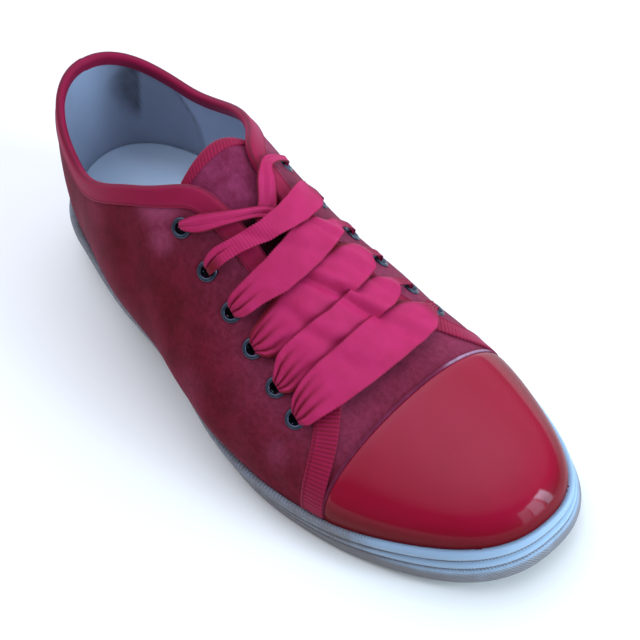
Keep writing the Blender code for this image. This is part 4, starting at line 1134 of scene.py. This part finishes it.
def build_eyelets():
    """Turned rings with a rolled flange and a barrel through the wall, joined in one mesh. Each barrel is closed
    inside by a disc of the dark metal, which stands in for the shade in the hole.
    """
    sides = 40
    # The first two points close the barrel with a dark disc where the hole would show only shade.
    section = ((0.02, -1.9), (2.6, -1.9), (2.62, 0.8), (2.74, 1.05), (3.0, 1.25), (3.4, 1.32), (3.85, 1.22),
               (4.2, 1.0), (4.35, 0.7), (4.3, 0.45), (3.1, 0.4), (3.1, -1.95), (4.4, -2.0), (4.5, -2.2),
               (4.3, -2.45), (0.02, -2.5))
    turn = 2.0 * math.pi * np.arange(sides) / sides
    points, faces = [], []
    for u, t, side in eyelet_spots():
        point, normal, along, _ = upper_frame(u, t, side)
        ahead = unit(along)
        out = ahead * np.cos(turn)[:, None] + np.cross(normal, ahead) * np.sin(turn)[:, None]
        rings = swept(point + 0.0 * out, out, normal + 0.0 * out, section)
        faces.append(grid_faces(sides, len(section), True, True) + sum(len(part) for part in points))
        points.append(rings.reshape(-1, 3))
    return mesh_piece("metal_eyelets", np.concatenate(points), np.concatenate(faces), METAL)


def pleats(away, w, places, reach):
    """Narrow valleys that run out of an eyelet along the cloth, with full folds between them, gone at the reach."""
    fade = smooth(reach, 1.5, away) * smooth(-0.5, 1.5, away)
    valleys = sum(bell(w - place, 0.10 + 0.07 * fade) for place in places)
    return 0.35 * fade - 1.35 * fade * valleys


def build_ribbon(name, face, wear_and_shading, thickness):
    """A piece of lace from the grid of its face, along and across it."""
    along = run_along(face[:, face.shape[1] // 2])[:, None]
    lay = np.stack(np.broadcast_arrays(along, np.linspace(-10.0, 10.0, face.shape[1])), axis=-1)
    ribbon = mesh_piece(name, face, grid_faces(*face.shape[:2])[:, ::-1], LACE_RIBBON, lay, wear_and_shading)
    return thicken(ribbon, thickness, 0.0)


def bar_course(edges, w):
    """The plain grid of a bar on the upper, from the outer to the inner eyelet and over its width w.

    Returns its points and normals, the places across, the sides, the distances from the nearer eyelet, and how
    far the ribbon has opened out there, from 0 to 1.
    """
    across = np.linspace(-1.0, 1.0, 301)
    places, upper, lower = np.array(edges).T
    teeth = 0.10 * np.sin(2.0 * math.pi * np.arange(len(across)) / 5.0) * smooth(0.9, 0.7, np.abs(across))
    upper = (soften(np.interp(across, places, upper), 5) + teeth)[:, None]
    lower = (soften(np.interp(across, places, lower), 5) - teeth)[:, None]
    walk = u_of(upper + (lower - upper) * (w + 1.0) / 2.0)
    place = across[:, None] + 0.0 * walk
    fine = np.linspace(walk.min(), walk.max(), 60)
    low = {way: np.interp(walk, fine, eyelet_share(fine, way)) for way in (-1, 1)}
    side = side_of(place)
    point, normal, _, rising = upper_frame(walk, 1.0 - np.abs(place) * (1.0 - of_side(low, side)), side)
    reach = {way: np.linalg.norm(rising[end, 0]) * (1.0 - low[way][end, 0]) for way, end in ((-1, 0), (1, -1))}
    away = (1.0 - np.abs(place)) * of_side(reach, side)
    return point, normal, place, side, away, smooth(3.0, 9.0, away) * smooth(3.0, 9.0, lower - upper)


def bar_laps(laps, w, place):
    """How far a bar's edges stand off the ribbons under them, and where its neighbours cover it, which is painted
    dark as shade.
    """
    inner = smooth(-0.12, 0.22, place)
    height, covered = 0.0, 0.0
    for first, second, near_edge in ((*laps[:2], (1.0 - w) / 2.0), (*laps[2:], (1.0 + w) / 2.0)):
        lap = first + (second - first) * inner
        height = height + np.where(lap > 0.0, lap * near_edge ** 2, 2.2 * lap * near_edge ** 5)
        covered = np.maximum(covered, smooth(0.84, 0.94, near_edge) * smooth(0.0, -0.5, lap))
    return height, covered


def bar_folds(folds, w, place):
    """Soft folds over the throat: a valley, and a lower ridge beside it."""
    height = 0.0
    for on_upper, on_lower, breadth, depth in folds:
        off_line = place - on_upper - (on_lower - on_upper) * (w + 1.0) / 2.0
        height = height + depth * (0.45 * bell(off_line - 1.9 * breadth, breadth) - bell(off_line, breadth))
    return height


def bar_painted_shade(k, w, place, side, away):
    """Where a bar takes painted shade: along its edges, in the outer pleats, by the eyelets, on the top bar's turned
    underside and on its neck.
    """
    shade = 0.8 * smooth(0.93, 1.0, np.abs(w))
    for pleat in PLEATS[k][0]:
        shade = shade + smooth(19.0, 3.0, away) * bell(w - pleat, 0.13) * (side < 0)
    shade = np.maximum(shade, 0.45 * smooth(5.0, 1.0, away))
    if k == 0:
        shade = np.maximum(shade, smooth(12.0, 4.0, away) * smooth(-0.5, -0.2, w) * (side < 0))
    return np.maximum(shade, 0.7 * smooth(0.56, 0.75, place))


def build_lace_bars():
    """The ribbon's bars from eyelet to eyelet, laid out by their two edges on the upper.

    Each leaves its outer eyelet in a fan of pleats, crosses the throat over or under its neighbours, ends
    bluntly on the inner side and runs on as a narrow neck to its eyelet there.
    """
    w = np.linspace(-1.0, 1.0, 37)[None, :]
    bars = []
    for k, edges in enumerate(BAR_EDGES):
        point, normal, place, side, away, spread = bar_course(edges, w)
        laps, covered = bar_laps(BAR_LAPS[k], w, place)
        sway = 0.55 * (1.0 - w ** 2) + 0.13 * np.sin(9.0 * place + 2.1 * k + 2.4 * w)
        pleated = of_side({way: pleats(away, w, places, reach) for way, places, reach
                           in zip((-1, 1), PLEATS[k], (20.0, 12.0))}, side)
        height = (np.interp(away, *np.array(LACE_RISE).T) + spread * (laps + sway) + pleated
                  + bar_folds(THROAT_FOLDS[k], w, place))
        # The second colour here is painted shade.
        wear_and_shading = np.clip(np.maximum(bar_painted_shade(k, w, place, side, away), covered), 0.0, 1.0)
        bars.append(build_ribbon(f"lace_bar_{k + 2}", point + normal * height[..., None], wear_and_shading, 0.5))
    return bars


def build_lace_end(name, rows):
    """A loose end of the lace, folded double, and the points that it follows, in the frame's metres."""
    route = columns(END_COLUMNS, rows)
    pace = np.arange(len(rows), dtype=float)
    fine = np.linspace(0.0, pace[-1], 10 * len(rows) - 9)
    route = {key: spline(pace, values)(fine) for key, values in route.items()}
    walk = u_of(route["at"])
    t, side = lace_share(walk, route["across"])
    _, normal, along, _ = upper_frame(walk, t, side)
    centre = off_upper(walk, t, side, route["height"])
    run = unit(np.gradient(centre, axis=0))
    across = along + 3.0 * side[0] * np.cross(normal, np.gradient(centre, axis=0))
    across = unit(across - run * (across * run).sum(-1, keepdims=True))
    w = np.linspace(-1.0, 1.0, 25)[None, :]
    away = run_along(centre)[:, None]
    folded = 0.35 * bell(w - 0.25, 0.16) - 0.30 * bell(w + 0.30, 0.18)
    relief = pleats(away, w, (-0.3, 0.4), 12.0) * 0.5 + folded * smooth(3.0, 9.0, away)
    face = (centre[:, None] + across[:, None] * (w * route["width"][:, None] / 2.0)[..., None]
            + np.cross(run, across)[:, None] * relief[..., None])
    # The second colour along the edges is painted shade.
    end = build_ribbon(name, face, smooth(0.80, 0.97, np.abs(w)) + 0.0 * relief, 0.9)
    return end, placed(centre)


# ---------------------------------------------------------------- the stage


def build_floor():
    """A plain pale floor under the sole."""
    mesh = bpy.data.meshes.new("floor")
    reach = 3.0
    mesh.from_pydata([(-reach, -reach, 0.0), (reach, -reach, 0.0), (reach, reach, 0.0), (-reach, reach, 0.0)], [],
                     [(0, 1, 2, 3)])
    made = Finish("pale_floor", roughness=0.9, specular_ior_level=0.1, base_color=(0.97, 0.91, 0.82))
    mesh.materials.append(made.material)
    floor = bpy.data.objects.new("floor", mesh)
    bpy.context.scene.collection.objects.link(floor)


# Tall lights ahead of the toe, like the panes of a window: names, places in the frame's metres, and watts
PANES = (("near_pane", (1.26, 0.10, 0.36), 2.5), ("middle_pane", (1.18, 0.34, 0.38), 5.0),
         ("far_pane", (1.06, 0.58, 0.40), 13.0))
PANE_TARGET = (0.08, 0.0, 0.04)
PANE_SIZE = (0.22, 0.95)
PANE_COLOUR = (0.55, 0.78, 1.0)


def add_pane(name, place, power):
    """A tall soft light of daylight colour at a place, aimed at the shoe."""
    light = bpy.data.lights.new(name, "AREA")
    light.shape = "RECTANGLE"
    light.size, light.size_y = PANE_SIZE
    light.energy = power
    light.color = PANE_COLOUR
    lamp = bpy.data.objects.new(name, light)
    lamp.location = place
    lamp.rotation_euler = (Vector(PANE_TARGET) - Vector(place)).to_track_quat("-Z", "Y").to_euler()
    bpy.context.scene.collection.objects.link(lamp)


# Where the daylight comes from, and the sky's colour from the far side of that, at 0, to it, at 1
SKY_AXIS = (-0.49, 0.23, 0.84)
SKY_STOPS = ((0.0, (0.19, 0.195, 0.22)), (0.69, (0.24, 0.25, 0.30)), (0.78, (0.80, 0.90, 1.10)),
             (0.88, (1.15, 1.30, 1.60)), (0.95, (1.70, 1.93, 2.40)), (1.0, (2.20, 2.50, 3.10)))


def set_stops(ramp, stops):
    """Give a colour ramp its stops, pairs of a place and a colour."""
    while len(ramp.elements) < len(stops):
        ramp.elements.new(1.0)
    for element, (place, shade) in zip(ramp.elements, stops):
        element.position = place
        element.color = (*shade, 1.0)


def build_world():
    """Soft daylight from the inner side and above, dim all round elsewhere, so that glossy sides show dark."""
    world = bpy.data.worlds.new("studio")
    world.use_nodes = True
    tree = world.node_tree
    spot = tree.nodes.new("ShaderNodeTexCoord")
    towards = tree.nodes.new("ShaderNodeVectorMath")
    towards.operation = "DOT_PRODUCT"
    towards.inputs[1].default_value = SKY_AXIS
    span = tree.nodes.new("ShaderNodeMapRange")
    span.inputs["From Min"].default_value = -1.0
    ramp = tree.nodes.new("ShaderNodeValToRGB")
    set_stops(ramp.color_ramp, SKY_STOPS)
    tree.links.new(spot.outputs["Generated"], towards.inputs[0])
    tree.links.new(towards.outputs["Value"], span.inputs["Value"])
    tree.links.new(span.outputs["Result"], ramp.inputs["Fac"])
    tree.links.new(ramp.outputs["Color"], tree.nodes["Background"].inputs["Color"])
    tree.nodes["Background"].inputs["Strength"].default_value = 1.0
    bpy.context.scene.world = world


CAMERA_AZIMUTH = 40.37  # degrees round from the outer side towards the toe
CAMERA_HEIGHT = 42.89   # degrees over the floor
CAMERA_AWAY = 572.85    # millimetres from the aimed point
CAMERA_AIM = (139.0, 130.2, 30.0)
CAMERA_TARGET = (163.8, -1.6, 38.0)
CAMERA_TURN = -6.7      # degrees of roll
CAMERA_LENS = 67.0


def build_camera():
    """The camera: its place is given round a point of the shoe's layout, and it then looks at the shoe's middle."""
    azimuth, height = math.radians(CAMERA_AZIMUTH), math.radians(CAMERA_HEIGHT)
    back = np.array([math.sin(azimuth) * math.cos(height), -math.cos(azimuth) * math.cos(height), math.sin(height)])
    place = Vector(placed(np.array(CAMERA_AIM) + back * CAMERA_AWAY))
    target = Vector(placed(CAMERA_TARGET))
    camera = bpy.data.cameras.new("camera")
    camera.lens = CAMERA_LENS
    camera.sensor_width = 36.0
    camera.clip_start = 0.01
    viewer = bpy.data.objects.new("camera", camera)
    look = (target - place).to_track_quat("-Z", "Y").to_matrix().to_4x4()
    viewer.matrix_world = Matrix.Translation(place) @ look @ Matrix.Rotation(math.radians(CAMERA_TURN), 4, "Z")
    bpy.context.scene.collection.objects.link(viewer)
    bpy.context.scene.camera = viewer


build_camera()
build_floor()
build_world()
bpy.context.scene.view_settings.view_transform = "Standard"
for pane in PANES:
    add_pane(*pane)

lateral_end, lateral_path = build_lace_end("lace_end_outer", LATERAL_END)
medial_end, medial_path = build_lace_end("lace_end_inner", MEDIAL_END)

suede_upper = build_suede_upper()
lining = build_lining()
toe_cap = build_toe_cap()
vamp_fold = build_vamp_fold()
binding = build_binding()
tongue, tongue_edge = build_tongue()
sole = build_sole()
insole = build_insole()
eyelets = build_eyelets()
bars = build_lace_bars()

# ---------------------------------------------------------------- what each piece rides on and replaces
for piece in (lateral_end, medial_end, suede_upper, lining, toe_cap, vamp_fold, binding, tongue, tongue_edge,
              sole, insole, eyelets, *bars):
    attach(piece, "root")

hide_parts("upper")
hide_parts("toe_cap")
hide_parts("collar_binding")
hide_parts("tongue")
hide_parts("outsole")
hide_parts("insole")
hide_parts(*[f"eyelet_{name}_{k + 1}" for k in range(len(EYELET_X)) for name in ("lateral", "medial")])
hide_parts("lace")
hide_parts("lace_end_lateral")
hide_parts("lace_end_medial")

for piece, path in ((lateral_end, lateral_path), (medial_end, medial_path)):
    [tuple(spot) for spot in path[::4]] + [tuple(path[-1])]
